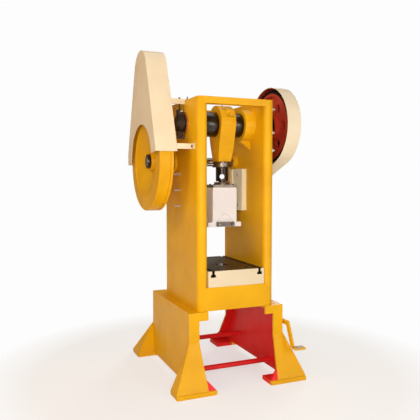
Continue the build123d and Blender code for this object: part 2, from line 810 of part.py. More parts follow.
back_shaft.part.label = "back_shaft"
export_step(back_shaft.part, "parts/back_shaft.step")

with BuildPart() as shaft_keys:
    with BuildSketch(side_plane(-wheel_hub_outer_x), side_plane(pinion_inner_x)) as shaft_key_ends:
        with Locations((back_y_axis, back_z + back_shaft_radius)):
            Rectangle(2 * shaft_key_half, shaft_key_height)
    extrude(amount=pinion_outer_x - pinion_inner_x)
shaft_keys.part.label = "shaft_keys"
export_step(shaft_keys.part, "parts/shaft_keys.step")

with BuildPart() as pinion:
    with BuildSketch(side_plane(pinion_inner_x)) as pinion_outline:
        with BuildLine():
            Polyline(*tooth_outline(pinion_teeth, mesh_angle + math.pi, back_y_axis, back_z), close=True)
        make_face()
        with Locations((back_y_axis, back_z)):
            Circle(back_shaft_radius, mode=Mode.SUBTRACT)
        with Locations((back_y_axis, back_z + back_shaft_radius)):
            Rectangle(2 * shaft_key_half, shaft_key_height, mode=Mode.SUBTRACT)
    extrude(amount=pinion_outer_x - pinion_inner_x)
pinion.part.label = "pinion"
export_step(pinion.part, "parts/pinion.step")

with BuildPart() as flywheel:
    with BuildSketch(wheel_plane(back_y_axis, back_z)) as wheel_profile:
        with BuildLine():
            Polyline(
                (-wheel_hub_outer_x, back_shaft_radius),
                (-wheel_hub_outer_x, wheel_nose_radius),
                (-wheel_outer_x + wheel_dish, wheel_nose_radius + rim_rise),
                (-wheel_outer_x + rim_rise, wheel_band - rim_rise),
                (-wheel_outer_x, wheel_band),
                (-wheel_outer_x, wheel_radius - rim_rise),
                (-wheel_outer_x + rim_rise, wheel_radius),
                (-groove_x, wheel_radius),
                (-groove_x, wheel_radius - groove_depth),
                (-groove_x + groove_width, wheel_radius - groove_depth),
                (-groove_x + groove_width, wheel_radius),
                (-wheel_inner_x, wheel_radius),
                (-wheel_inner_x, wheel_band),
                (-wheel_outer_x + rim_rise + wheel_web, wheel_band - rim_rise),
                (-wheel_outer_x + wheel_dish + wheel_web, wheel_hub_radius + rim_rise),
                (-wheel_hub_inner_x, wheel_hub_radius),
                (-wheel_hub_inner_x, back_shaft_radius),
                close=True,
            )
        make_face()
    revolve(axis=Axis((0, back_y_axis, back_z), (1, 0, 0)))
    with BuildSketch(side_plane(-wheel_hub_outer_x)) as wheel_key_way:
        with Locations((back_y_axis, back_z + back_shaft_radius)):
            Rectangle(2 * shaft_key_half, shaft_key_height)
    extrude(amount=wheel_hub_outer_x - wheel_hub_inner_x, mode=Mode.SUBTRACT)
flywheel.part.label = "flywheel"
export_step(flywheel.part, "parts/flywheel.step")

with BuildPart() as flywheel_nut:
    with BuildSketch(side_plane(-wheel_hub_outer_x)) as wheel_nut_face:
        with Locations((back_y_axis, back_z)):
            Circle(wheel_nut_radius)
            Circle(back_shaft_radius, mode=Mode.SUBTRACT)
            with PolarLocations(wheel_nut_radius, 4):
                Rectangle(shaft_key_height, shaft_key_half, mode=Mode.SUBTRACT)
    extrude(amount=-wheel_nut_thickness)
flywheel_nut.part.label = "flywheel_nut"
export_step(flywheel_nut.part, "parts/flywheel_nut.step")

# Connecting rod, one tapered body with its big end split over the crank pin
strap_radius = 145
rod_bush_radius = 90
rod_bolt_offset = 118
rod_bolt_radius = 10
rod_bolt_head = 17
rod_bolt_head_height = 12
rod_bolt_seat = 36
rod_bolt_length = 85
rod_bolt_room = 20
foot_half = 58
foot_depth = 62
lock_nut_thickness = 50
collar_bottom = ball_height + 103
collar_top = collar_bottom + 123
rod_foot = collar_top + lock_nut_thickness
rod_waist = pin_z - strap_radius
screw_radius = 42
screw_room = 90
screw_top = pin_z - rod_bush_radius - screw_room
shim = 0.5
rod_bolt_places = [(0, crank_y - rod_bolt_offset), (0, crank_y + rod_bolt_offset)]
foot_run = math.hypot(foot_depth, pin_z - rod_foot)
foot_angle = math.atan2(foot_depth, pin_z - rod_foot) + math.acos(strap_radius / foot_run)
cheek_y = strap_radius * math.sin(foot_angle)
cheek_z = pin_z - strap_radius * math.cos(foot_angle)
with BuildPart() as rod_body:
    # Seen from the side: a round big end, with tangents down to the foot
    with BuildSketch(side_plane(-rod_half)) as rod_side:
        with Locations(pin_centre):
            Circle(strap_radius)
        with BuildLine():
            Polyline(
                (crank_y - cheek_y, cheek_z),
                (crank_y - foot_depth, rod_foot),
                (crank_y + foot_depth, rod_foot),
                (crank_y + cheek_y, cheek_z),
                close=True,
            )
        make_face()
    extrude(amount=2 * rod_half)
    # Seen from the front: straight down to the waist, then drawn in to the foot
    with BuildSketch(front_plane(crank_y)) as rod_front:
        with BuildLine():
            waist_left = TangentArc((-rod_half, rod_waist), (-foot_half, rod_foot), tangent=(0, -1))
            foot_line = Line((-foot_half, rod_foot), (foot_half, rod_foot))
            waist_right = TangentArc((rod_half, rod_waist), (foot_half, rod_foot), tangent=(0, -1))
            Polyline(
                (rod_half, rod_waist),
                (rod_half, pin_z + strap_radius),
                (-rod_half, pin_z + strap_radius),
                (-rod_half, rod_waist),
            )
        make_face()
    extrude(amount=strap_radius, both=True, mode=Mode.INTERSECT)
    with BuildSketch(side_plane(-rod_half)) as pin_bore:
        with Locations(pin_centre):
            Circle(rod_bush_radius)
    extrude(amount=2 * rod_half, mode=Mode.SUBTRACT)
    with BuildSketch(Plane.XY.offset(pin_z + rod_bolt_seat)) as rod_bolt_rooms:
        with Locations(*rod_bolt_places):
            Circle(rod_bolt_room)
    extrude(amount=strap_radius, mode=Mode.SUBTRACT)
    with BuildSketch(Plane.XY.offset(pin_z + rod_bolt_seat)) as rod_bolt_bores:
        with Locations(*rod_bolt_places):
            Circle(rod_bolt_radius)
    extrude(amount=-rod_bolt_length, mode=Mode.SUBTRACT)
    with BuildSketch(Plane.XY.offset(rod_foot)) as screw_bore:
        with Locations((0, crank_y)):
            Circle(screw_radius)
    extrude(amount=screw_top - rod_foot + side_gap, mode=Mode.SUBTRACT)
upper_half = Pos(0, crank_y, pin_z + strap_radius) * Box(4 * rod_half, 3 * strap_radius, 2 * strap_radius)

with BuildPart() as rod_cap:
    add(rod_body.part & upper_half)
rod_cap.part.label = "rod_cap"
export_step(rod_cap.part, "parts/rod_cap.step")

with BuildPart() as connecting_rod:
    add(rod_body.part - upper_half)
connecting_rod.part.label = "connecting_rod"
export_step(connecting_rod.part, "parts/connecting_rod.step")

with BuildPart() as rod_bushes:
    with BuildSketch(side_plane(-rod_half)) as rod_bush_ring:
        with Locations(pin_centre):
            Circle(rod_bush_radius)
            Circle(pin_radius + journal_gap, mode=Mode.SUBTRACT)
            Rectangle(2 * rod_bush_radius, shim, mode=Mode.SUBTRACT)
    extrude(amount=2 * rod_half)
rod_bushes.part.label = "rod_bushes"
export_step(rod_bushes.part, "parts/rod_bushes.step")

with BuildPart() as rod_bolts:
    with BuildSketch(Plane.XY.offset(pin_z + rod_bolt_seat)) as rod_bolt_heads:
        with Locations(*rod_bolt_places):
            RegularPolygon(rod_bolt_head, 6)
    extrude(amount=rod_bolt_head_height)
    with BuildSketch(Plane.XY.offset(pin_z + rod_bolt_seat)) as rod_bolt_shanks:
        with Locations(*rod_bolt_places):
            Circle(rod_bolt_radius)
    extrude(amount=-rod_bolt_length)
rod_bolts.part.label = "rod_bolts"
export_step(rod_bolts.part, "parts/rod_bolts.step")

# Adjusting screw with its ball end, lock nut and nut bar
screw_collar_radius = 55
ball_radius = 42
neck_radius = 30
tommy_radius = 21.5
tommy_height = collar_bottom + 43
tommy_turn = 24
tommy_line = (math.sin(math.radians(tommy_turn)), math.cos(math.radians(tommy_turn)), 0)
nut_radius = 84
nut_notch = 16
nut_notch_depth = 9
nut_bar_radius = 12
nut_bar_reach = 76
with BuildPart() as adjusting_screw:
    with BuildSketch(wheel_plane(crank_y, 0)) as screw_profile:
        with BuildLine():
            Polyline(
                (0, ball_height),
                (neck_radius, ball_height),
                (neck_radius, collar_bottom),
                (screw_collar_radius, collar_bottom),
                (screw_collar_radius, collar_top - side_gap),
                (screw_collar_radius - side_gap, collar_top),
                (screw_radius, collar_top),
                (screw_radius, screw_top - side_gap),
                (screw_radius - side_gap, screw_top),
                (0, screw_top),
                close=True,
            )
        make_face()
    revolve(axis=Axis((0, crank_y, 0), (0, 0, 1)))
    with Locations((0, crank_y, ball_height)):
        Sphere(ball_radius)
    with BuildSketch(Plane(origin=(0, crank_y, tommy_height), z_dir=tommy_line)) as tommy_bore:
        Circle(tommy_radius)
    extrude(amount=2 * screw_collar_radius, both=True, mode=Mode.SUBTRACT)
adjusting_screw.part.label = "adjusting_screw"
export_step(adjusting_screw.part, "parts/adjusting_screw.step")

with BuildPart() as lock_nut:
    with BuildSketch(Plane.XY.offset(collar_top)) as nut_face:
        with Locations((0, crank_y)):
            Circle(nut_radius)
            Circle(screw_radius, mode=Mode.SUBTRACT)
            with PolarLocations(nut_radius, 5, start_angle=36):
                Rectangle(2 * nut_notch_depth, nut_notch, mode=Mode.SUBTRACT)
    extrude(amount=lock_nut_thickness)
lock_nut.part.label = "lock_nut"
export_step(lock_nut.part, "parts/lock_nut.step")

nut_middle_z = collar_top + lock_nut_thickness / 2
nut_bar_root = nut_radius - nut_notch_depth
with BuildPart() as nut_bar:
    with BuildSketch(side_plane(-nut_bar_root)) as nut_bar_end:
        with Locations((crank_y, nut_middle_z)):
            Circle(nut_notch / 2)
    extrude(amount=-(nut_radius - nut_bar_root))
    with BuildSketch(side_plane(-nut_radius)) as nut_bar_grip:
        with Locations((crank_y, nut_middle_z)):
            Circle(nut_bar_radius)
    extrude(amount=-nut_bar_reach)
    fillet(nut_bar.edges().group_by(Axis.X)[0], side_gap)
nut_bar.part.label = "nut_bar"
export_step(nut_bar.part, "parts/nut_bar.step")

# Ram with its guide tongues, ball pocket and tool clamp
ram_front_y = crank_y - 65
ram_half = 115
ram_block_back = 60
guide_thickness = 44
guide_inner_x = inner_x - guide_thickness
slide_half = guide_inner_x - side_gap
slide_back_y = 190
flange_half = 160
flange_height = 40
tongue_front = 95
tongue_back = 155
tongue_reach = 20
corner_radius = 6
ball_room = 4.5
seat_radius = 53
seat_bottom = ball_height - 72
seat_top = ball_height - 8
ball_path_middle = (0, crank_y + throw / 2)
clamp_arc_radius = 56
clamp_arc_height = ram_bottom + 57
clamp_gap = 2
tool_shank_radius = 25
tool_shank_depth = 82
cap_thickness = 24
cap_hub_height = 24
cap_margin = 2
cap_slot_radius = neck_radius + 6
cap_hub_radius = 62
cap_bolt_radius = 6
cap_bolt_head = 11
cap_bolt_head_height = 8
cap_bolt_reach = 30
cap_bolt_inset = 23
cap_bolt_margin = 20
cap_bolt_pitch = 95
cap_bolt_places = [
    (side * (ram_half - cap_bolt_inset), ram_front_y + cap_bolt_margin + row * cap_bolt_pitch)
    for side in (-1, 1)
    for row in range(3)
]
stud_offset = 68
clamp_stud_radius = 7
clamp_stud_length = 45
clamp_bar_height = 40
clamp_bar_lift = 4
stud_height = ram_bottom + clamp_bar_lift + clamp_bar_height / 2
stud_places = [(-stud_offset, stud_height), (stud_offset, stud_height)]
stud_anchor = 30
with BuildPart() as ram:
    with BuildSketch(Plane.XY.offset(ram_bottom)) as ram_plan:
        with Locations((0, (ram_front_y + ram_block_back) / 2)):
            Rectangle(2 * ram_half, ram_block_back - ram_front_y)
        fillet(ram_plan.vertices().group_by(Axis.Y)[0], corner_radius)
        with Locations((0, (ram_block_back + slide_back_y) / 2)):
            Rectangle(2 * slide_half, slide_back_y - ram_block_back)
        with Locations((0, (tongue_front + tongue_back) / 2)):
            Rectangle(2 * (slide_half + tongue_reach), tongue_back - tongue_front)
    extrude(amount=ram_top - ram_bottom)
    with BuildSketch(Plane.XY.offset(ram_bottom)) as ram_flange:
        with Locations((0, (ram_front_y + ram_block_back) / 2)):
            Rectangle(2 * flange_half, ram_block_back - ram_front_y)
        fillet(ram_flange.vertices().group_by(Axis.Y)[0], corner_radius)
    extrude(amount=flange_height)
    with BuildSketch(Plane.XY.offset(seat_bottom)) as ball_pocket:
        with Locations(ball_path_middle):
            SlotCenterToCenter(throw, 2 * seat_radius, rotation=90)
    extrude(amount=ram_top - seat_bottom, mode=Mode.SUBTRACT)
    with BuildSketch(front_plane(crank_y)) as clamp_pocket:
        with Locations((0, clamp_arc_height)):
            Circle(clamp_arc_radius)
        with Locations((0, (ram_bottom + clamp_arc_height) / 2)):
            Rectangle(2 * clamp_arc_radius, clamp_arc_height - ram_bottom)
    extrude(amount=crank_y - ram_front_y, mode=Mode.SUBTRACT)
    with BuildSketch(Plane.XY.offset(ram_bottom)) as shank_bore:
        with Locations((0, crank_y)):
            Circle(tool_shank_radius)
    extrude(amount=tool_shank_depth, mode=Mode.SUBTRACT)
    with BuildSketch(Plane.XY.offset(ram_top)) as cap_threads:
        with Locations(*cap_bolt_places):
            Circle(cap_bolt_radius)
    extrude(amount=-cap_bolt_reach, mode=Mode.SUBTRACT)
    with BuildSketch(front_plane(ram_front_y)) as stud_threads:
        with Locations(*stud_places):
            Circle(clamp_stud_radius)
    extrude(amount=-stud_anchor, mode=Mode.SUBTRACT)
ram.part.label = "ram"
export_step(ram.part, "parts/ram.step")

with BuildPart() as ball_seat:
    with BuildSketch(Plane.XY.offset(seat_bottom)) as seat_plan:
        with Locations(ball_path_middle):
            SlotCenterToCenter(throw, 2 * seat_radius, rotation=90)
    extrude(amount=seat_top - seat_bottom)
    with Locations((0, crank_y, ball_height), (0, crank_y + throw, ball_height)):
        Sphere(ball_radius + ball_room, mode=Mode.SUBTRACT)
    with BuildSketch(front_plane(crank_y)) as seat_groove:
        with Locations((0, ball_height)):
            Circle(ball_radius + ball_room)
    extrude(amount=-throw, mode=Mode.SUBTRACT)
ball_seat.part.label = "ball_seat"
export_step(ball_seat.part, "parts/ball_seat.step")

with BuildPart() as ball_cap:
    with BuildSketch(Plane.XY.offset(ram_top)) as cap_plan:
        with Locations((0, (ram_front_y + ram_block_back) / 2)):
            Rectangle(2 * (ram_half - cap_margin), ram_block_back - ram_front_y - 2 * cap_margin)
        fillet(cap_plan.vertices(), corner_radius)
        with Locations(*cap_bolt_places):
            Circle(cap_bolt_radius + working_gap, mode=Mode.SUBTRACT)
    extrude(amount=cap_thickness)
    with BuildSketch(Plane.XY.offset(ram_top + cap_thickness)) as cap_hub:
        with Locations(ball_path_middle):
            SlotCenterToCenter(throw, 2 * cap_hub_radius, rotation=90)
    extrude(amount=cap_hub_height)
    with BuildSketch(Plane.XY.offset(ram_top)) as cap_slot:
        with Locations(ball_path_middle):
            SlotCenterToCenter(throw, 2 * cap_slot_radius, rotation=90)
    extrude(amount=cap_thickness + cap_hub_height, mode=Mode.SUBTRACT)
ball_cap.part.label = "ball_cap"
export_step(ball_cap.part, "parts/ball_cap.step")

with BuildPart() as cap_bolts:
    with BuildSketch(Plane.XY.offset(ram_top + cap_thickness)) as cap_heads:
        with Locations(*cap_bolt_places):
            RegularPolygon(cap_bolt_head, 6)
    extrude(amount=cap_bolt_head_height)
    with BuildSketch(Plane.XY.offset(ram_top + cap_thickness)) as cap_shanks:
        with Locations(*cap_bolt_places):
            Circle(cap_bolt_radius)
    extrude(amount=-(cap_thickness + cap_bolt_reach))
cap_bolts.part.label = "cap_bolts"
export_step(cap_bolts.part, "parts/cap_bolts.step")

# Tool clamp let into the ram front
with BuildPart() as clamp_block:
    with BuildSketch(front_plane(crank_y - clamp_gap)) as clamp_face:
        with Locations((0, clamp_arc_height)):
            Circle(clamp_arc_radius - clamp_gap)
        with Locations((0, (ram_bottom + clamp_arc_height) / 2)):
            Rectangle(2 * (clamp_arc_radius - clamp_gap), clamp_arc_height - ram_bottom)
    extrude(amount=crank_y - clamp_gap - ram_front_y)
    with BuildSketch(Plane.XY.offset(ram_bottom)) as clamp_shank_bore:
        with Locations((0, crank_y)):
            Circle(tool_shank_radius)
    extrude(amount=tool_shank_depth, mode=Mode.SUBTRACT)
clamp_block.part.label = "clamp_block"
export_step(clamp_block.part, "parts/clamp_block.step")

clamp_bar_half = 82
clamp_bar_thickness = 20
clamp_nut_radius = 16
clamp_nut_thickness = 14
with BuildPart() as clamp_bar:
    with BuildSketch(front_plane(ram_front_y)) as clamp_bar_face:
        with Locations((0, stud_height)):
            Rectangle(2 * clamp_bar_half, clamp_bar_height)
        with Locations(*stud_places):
            Circle(clamp_stud_radius + working_gap, mode=Mode.SUBTRACT)
    extrude(amount=clamp_bar_thickness)
    fillet(clamp_bar.edges().filter_by(Axis.Y), side_gap)
clamp_bar.part.label = "clamp_bar"
export_step(clamp_bar.part, "parts/clamp_bar.step")

with BuildPart() as clamp_studs:
    with BuildSketch(front_plane(ram_front_y + stud_anchor)) as clamp_stud_ends:
        with Locations(*stud_places):
            Circle(clamp_stud_radius)
    extrude(amount=stud_anchor + clamp_stud_length)
clamp_studs.part.label = "clamp_studs"
export_step(clamp_studs.part, "parts/clamp_studs.step")

with BuildPart() as clamp_nuts:
    with BuildSketch(front_plane(ram_front_y - clamp_bar_thickness)) as clamp_nut_faces:
        with Locations(*stud_places):
            RegularPolygon(clamp_nut_radius, 6)
            Circle(clamp_stud_radius + journal_gap, mode=Mode.SUBTRACT)
    extrude(amount=clamp_nut_thickness)
clamp_nuts.part.label = "clamp_nuts"
export_step(clamp_nuts.part, "parts/clamp_nuts.step")

# Ram guides bolted through the columns
guide_front_y = -66
guide_back_y = slide_back_y + 10
groove_floor = slide_half + tongue_reach + side_gap
groove_width = tongue_back - tongue_front + 2 * sliding_gap
guide_head = 13
guide_head_height = 10
guide_nut = 13
guide_nut_thickness = 13
guide_stud_rise = 58
for side, guide_name in ((-1, "left_guide"), (1, "right_guide")):
    with BuildPart() as guide:
        with BuildSketch(Plane.XY.offset(guide_bottom)) as guide_plan:
            with Locations((side * (guide_inner_x + inner_x) / 2, (guide_front_y + guide_back_y) / 2)):
                Rectangle(guide_thickness, guide_back_y - guide_front_y)
            with Locations((side * (guide_inner_x + groove_floor) / 2, (tongue_front + tongue_back) / 2)):
                Rectangle(groove_floor - guide_inner_x, groove_width, mode=Mode.SUBTRACT)
        extrude(amount=guide_top - guide_bottom)
        with BuildSketch(side_plane(side * guide_inner_x)) as guide_holes:
            with Locations(*guide_bolt_places):
                Circle(guide_hole_radius)
        extrude(amount=side * guide_thickness, mode=Mode.SUBTRACT)
    guide.part.label = guide_name
    export_step(guide.part, f"parts/{guide_name}.step")

with BuildPart() as guide_bolts:
    for side in (-1, 1):
        with BuildSketch(side_plane(side * guide_inner_x)) as guide_heads:
            with Locations(*guide_bolt_places):
                RegularPolygon(guide_head, 6)
        extrude(amount=-side * guide_head_height)
        with BuildSketch(side_plane(side * guide_inner_x)) as guide_shanks:
            with Locations(*guide_bolt_places):
                Circle(guide_bolt_radius)
        extrude(amount=side * (guide_thickness + column_thickness + guide_stud_rise))
guide_bolts.part.label = "guide_bolts"
export_step(guide_bolts.part, "parts/guide_bolts.step")

with BuildPart() as guide_nuts:
    for side in (-1, 1):
        with BuildSketch(side_plane(side * half_width)) as guide_nut_faces:
            with Locations(*guide_bolt_places):
                RegularPolygon(guide_nut, 6)
                Circle(guide_bolt_radius, mode=Mode.SUBTRACT)
        extrude(amount=side * guide_nut_thickness)
guide_nuts.part.label = "guide_nuts"
export_step(guide_nuts.part, "parts/guide_nuts.step")

# Gear guard, a deep sheet cover open toward the frame, on three straps
guard_sheet = 4
gear_guard_inner_x = half_width + 108
gear_guard_outer_x = gear_hub_outer_x + 26
strap_thickness = 6
strap_width = 40
strap_lap = 18
strap_foot_length = 65
with BuildPart() as gear_guard:
    with BuildSketch(side_plane(gear_guard_inner_x)) as gear_rim:
        pear(crank_centre, gear_guard_radius, back_centre, gear_guard_small)
    extrude(amount=gear_guard_outer_x - gear_guard_inner_x)
    with BuildSketch(side_plane(gear_guard_inner_x)) as gear_room:
        pear(crank_centre, gear_guard_radius - guard_sheet, back_centre, gear_guard_small - guard_sheet)
    extrude(amount=gear_guard_outer_x - gear_guard_inner_x - guard_sheet, mode=Mode.SUBTRACT)
    fillet(gear_guard.edges().group_by(Axis.X)[-1], guard_sheet)
    for y, z, turn in gear_straps:
        with BuildSketch(side_plane(half_width)) as strap_bar:
            with Locations(Location((y, z, 0), (0, 0, turn))):
                with Locations(((strap_thickness - guard_sheet) / 2, 0)):
                    Rectangle(strap_thickness + guard_sheet, strap_width)
        extrude(amount=gear_guard_inner_x + strap_lap - half_width)
        with BuildSketch(side_plane(half_width)) as strap_foot:
            with Locations(Location((y, z, 0), (0, 0, turn))):
                with Locations(((strap_foot_length - guard_sheet) / 2, 0)):
                    Rectangle(strap_foot_length + guard_sheet, strap_width)
        extrude(amount=strap_thickness)
    with BuildSketch(side_plane(half_width)) as strap_holes:
        with Locations(*gear_guard_bolts):
            Circle(guard_bolt_radius + working_gap)
    extrude(amount=strap_thickness, mode=Mode.SUBTRACT)
gear_guard.part.label = "gear_guard"
export_step(gear_guard.part, "parts/gear_guard.step")

# Belt guard round the flywheel, open toward the frame and cut off along a line below
belt_radius = 447
belt_top_centre = (back_y_axis + 5, back_z + 771)
belt_top_radius = 190
belt_sheet = 3
belt_outer_x = wheel_outer_x + 37
belt_inner_x = wheel_inner_x - 30
belt_ledge = 30
arch_radius = 320
belt_cut_front = (back_y_axis - 570, back_z + 85)
belt_cut_back = (back_y_axis + 630, back_z - 45)
belt_strap_thickness = 8
belt_strap_height = 45
belt_strap_lap = 5
belt_foot_back = belt_strap_bolt[0] + 42
belt_foot_length = 82
belt_stand_front = belt_stud_place[1] - 20
belt_stand_length = 40
belt_stand_width = 66
belt_stand_middle = frame_top - belt_strap_height / 4
with BuildPart() as belt_guard:
    with BuildSketch(side_plane(-belt_outer_x)) as belt_rim:
        pear(back_centre, belt_radius, belt_top_centre, belt_top_radius)
        pear(
            back_centre,
            belt_radius - belt_sheet,
            belt_top_centre,
            belt_top_radius - belt_sheet,
            mode=Mode.SUBTRACT,
        )
    extrude(amount=belt_outer_x - belt_inner_x)
    with BuildSketch(side_plane(-belt_outer_x)) as belt_face:
        pear(back_centre, belt_radius, belt_top_centre, belt_top_radius)
        with Locations(back_centre):
            Circle(arch_radius, mode=Mode.SUBTRACT)
    extrude(amount=belt_sheet)
    with BuildSketch(side_plane(-belt_inner_x - belt_sheet)) as belt_lip:
        pear(back_centre, belt_radius, belt_top_centre, belt_top_radius)
        pear(
            back_centre,
            belt_radius - belt_ledge,
            belt_top_centre,
            belt_top_radius - belt_ledge,
            mode=Mode.SUBTRACT,
        )
    extrude(amount=belt_sheet)
    with BuildSketch(side_plane(-belt_outer_x)) as below_cut:
        with BuildLine():
            Polyline(
                belt_cut_front,
                belt_cut_back,
                (belt_cut_back[0], frame_base),
                (belt_cut_front[0], frame_base),
                close=True,
            )
        make_face()
    extrude(amount=belt_outer_x - belt_inner_x, mode=Mode.SUBTRACT)
    # Lower strap, bent round to a foot on the column
    with BuildSketch(front_plane(belt_foot_back)) as lower_strap:
        with Locations((-(belt_inner_x + belt_strap_lap + half_width) / 2, belt_strap_bolt[1])):
            Rectangle(belt_inner_x + belt_strap_lap - half_width, belt_strap_height)
    extrude(amount=belt_strap_thickness)
    with BuildSketch(side_plane(-half_width)) as lower_foot:
        with Locations((belt_foot_back - belt_foot_length / 2, belt_strap_bolt[1])):
            Rectangle(belt_foot_length, belt_strap_height)
        with Locations(belt_strap_bolt):
            Circle(guard_bolt_radius + working_gap, mode=Mode.SUBTRACT)
    extrude(amount=-belt_strap_thickness)
    # Upper strap, bent over to a foot on the frame top
    with BuildSketch(front_plane(belt_stand_front + belt_strap_thickness)) as upper_strap:
        with Locations((-(belt_inner_x + belt_strap_lap + half_width) / 2, belt_stand_middle)):
            Rectangle(belt_inner_x + belt_strap_lap - half_width - side_gap, belt_strap_height)
    extrude(amount=belt_strap_thickness)
    with BuildSketch(Plane.XY.offset(frame_top)) as upper_foot:
        with Locations((belt_stud_place[0] - side_gap / 2, belt_stand_front + belt_stand_length / 2)):
            Rectangle(belt_stand_width, belt_stand_length)
        with Locations(belt_stud_place):
            Circle(guard_bolt_radius + working_gap, mode=Mode.SUBTRACT)
    extrude(amount=belt_strap_thickness)
belt_guard.part.label = "belt_guard"
export_step(belt_guard.part, "parts/belt_guard.step")

# Fasteners of the two guards
guard_head = 10
guard_head_height = 8
stud_rise = 34
with BuildPart() as guard_bolts:
    with BuildSketch(side_plane(half_width + strap_thickness)) as gear_guard_heads:
        with Locations(*gear_guard_bolts):
            RegularPolygon(guard_head, 6)
    extrude(amount=guard_head_height)
    with BuildSketch(side_plane(half_width + strap_thickness)) as gear_guard_shanks:
        with Locations(*gear_guard_bolts):
            Circle(guard_bolt_radius)
    extrude(amount=-(strap_thickness + guard_bolt_reach))
    with BuildSketch(side_plane(-half_width - belt_strap_thickness)) as belt_head:
        with Locations(belt_strap_bolt):
            RegularPolygon(guard_head, 6)
    extrude(amount=-guard_head_height)
    with BuildSketch(side_plane(-half_width - belt_strap_thickness)) as belt_shank:
        with Locations(belt_strap_bolt):
            Circle(guard_bolt_radius)
    extrude(amount=belt_strap_thickness + guard_bolt_reach)
    with BuildSketch(Plane.XY.offset(frame_top - guard_bolt_reach)) as belt_stud:
        with Locations(belt_stud_place):
            Circle(guard_bolt_radius)
    extrude(amount=guard_bolt_reach + stud_rise)
    with BuildSketch(Plane.XY.offset(frame_top + belt_strap_thickness)) as belt_nut:
        with Locations(belt_stud_place):
            RegularPolygon(guard_head, 6)
    extrude(amount=guard_head_height)
guard_bolts.part.label = "guard_bolts"
export_step(guard_bolts.part, "parts/guard_bolts.step")

# Band brake on the left end of the crankshaft
drum_radius = 62
lining_thickness = 4
band_thickness = 4.5
band_margin = 6
band_inner_x = brake_inner_x + band_margin
band_outer_x = brake_outer_x - band_margin
band_middle_x = -(band_inner_x + band_outer_x) / 2
band_gap = 12
ear_thickness = 8
ear_height = 46
ear_bolt_drop = 15
brake_bolt_radius = 5
anchor_block_half = 13
with BuildPart() as brake_drum:
    with BuildSketch(side_plane(-brake_outer_x)) as drum_face:
        with Locations(crank_centre):
            Circle(drum_radius)
            Circle(stub_radius, mode=Mode.SUBTRACT)
        with Locations((crank_y, crank_z + stub_radius)):
            Rectangle(2 * key_half, key_height, mode=Mode.SUBTRACT)
    extrude(amount=brake_outer_x - brake_inner_x)
brake_drum.part.label = "brake_drum"
export_step(brake_drum.part, "parts/brake_drum.step")

lining_inner = drum_radius + working_gap
band_inner = lining_inner + lining_thickness
band_outer = band_inner + band_thickness
ear_middle = crank_z + band_inner + ear_height / 2
brake_bolt_z = crank_z + band_inner + ear_height - ear_bolt_drop
with BuildPart() as brake_lining:
    with BuildSketch(side_plane(-band_outer_x)) as lining_ring:
        with Locations(crank_centre):
            Circle(band_inner)
            Circle(lining_inner, mode=Mode.SUBTRACT)
        with Locations((crank_y, crank_z + band_inner)):
            Rectangle(2 * (band_gap + ear_thickness), band_inner, mode=Mode.SUBTRACT)
    extrude(amount=band_outer_x - band_inner_x)
brake_lining.part.label = "brake_lining"
export_step(brake_lining.part, "parts/brake_lining.step")

with BuildPart() as brake_band:
    with BuildSketch(side_plane(-band_outer_x)) as band_ring:
        with Locations(crank_centre):
            Circle(band_outer)
        with Locations(
            (crank_y - band_gap - ear_thickness / 2, ear_middle),
            (crank_y + band_gap + ear_thickness / 2, ear_middle),
        ):
            Rectangle(ear_thickness, ear_height)
        with Locations((crank_y, (crank_z - band_inner + brake_anchor_place[1] - anchor_block_half) / 2)):
            Rectangle(2 * anchor_block_half, crank_z - band_inner - brake_anchor_place[1] + anchor_block_half)
        with Locations(crank_centre):
            Circle(band_inner, mode=Mode.SUBTRACT)
        with Locations((crank_y, crank_z + band_inner)):
            Rectangle(2 * band_gap, 2 * ear_height, mode=Mode.SUBTRACT)
        with Locations(brake_anchor_place):
            Circle(brake_anchor_radius, mode=Mode.SUBTRACT)
    extrude(amount=band_outer_x - band_inner_x)
    with BuildSketch(front_plane(crank_y)) as ear_holes:
        with Locations((band_middle_x, brake_bolt_z)):
            Circle(brake_bolt_radius + working_gap)
    extrude(amount=2 * band_gap + 2 * ear_thickness, both=True, mode=Mode.SUBTRACT)
brake_band.part.label = "brake_band"
export_step(brake_band.part, "parts/brake_band.step")

brake_nut_radius = 9
brake_nut_thickness = 8
ear_face = band_gap + ear_thickness
spring_length = 26
spring_radius = 9
with BuildPart() as brake_bolt:
    with BuildSketch(front_plane(crank_y - ear_face - spring_length - brake_nut_thickness)) as brake_rod:
        with Locations((band_middle_x, brake_bolt_z)):
            Circle(brake_bolt_radius)
    extrude(amount=-(2 * ear_face + spring_length + 3 * brake_nut_thickness))
    with BuildSketch(front_plane(crank_y - ear_face - spring_length)) as brake_nut:
        with Locations((band_middle_x, brake_bolt_z)):
            RegularPolygon(brake_nut_radius, 6)
    extrude(amount=brake_nut_thickness)
    with BuildSketch(front_plane(crank_y + ear_face)) as brake_head:
        with Locations((band_middle_x, brake_bolt_z)):
            RegularPolygon(brake_nut_radius, 6)
    extrude(amount=-brake_nut_thickness)
brake_bolt.part.label = "brake_bolt"
export_step(brake_bolt.part, "parts/brake_bolt.step")

with BuildPart() as brake_spring:
    with BuildSketch(front_plane(crank_y - ear_face)) as spring_ring:
        with Locations((band_middle_x, brake_bolt_z)):
            Circle(spring_radius)
            Circle(brake_bolt_radius + working_gap, mode=Mode.SUBTRACT)
    extrude(amount=spring_length)
brake_spring.part.label = "brake_spring"
export_step(brake_spring.part, "parts/brake_spring.step")

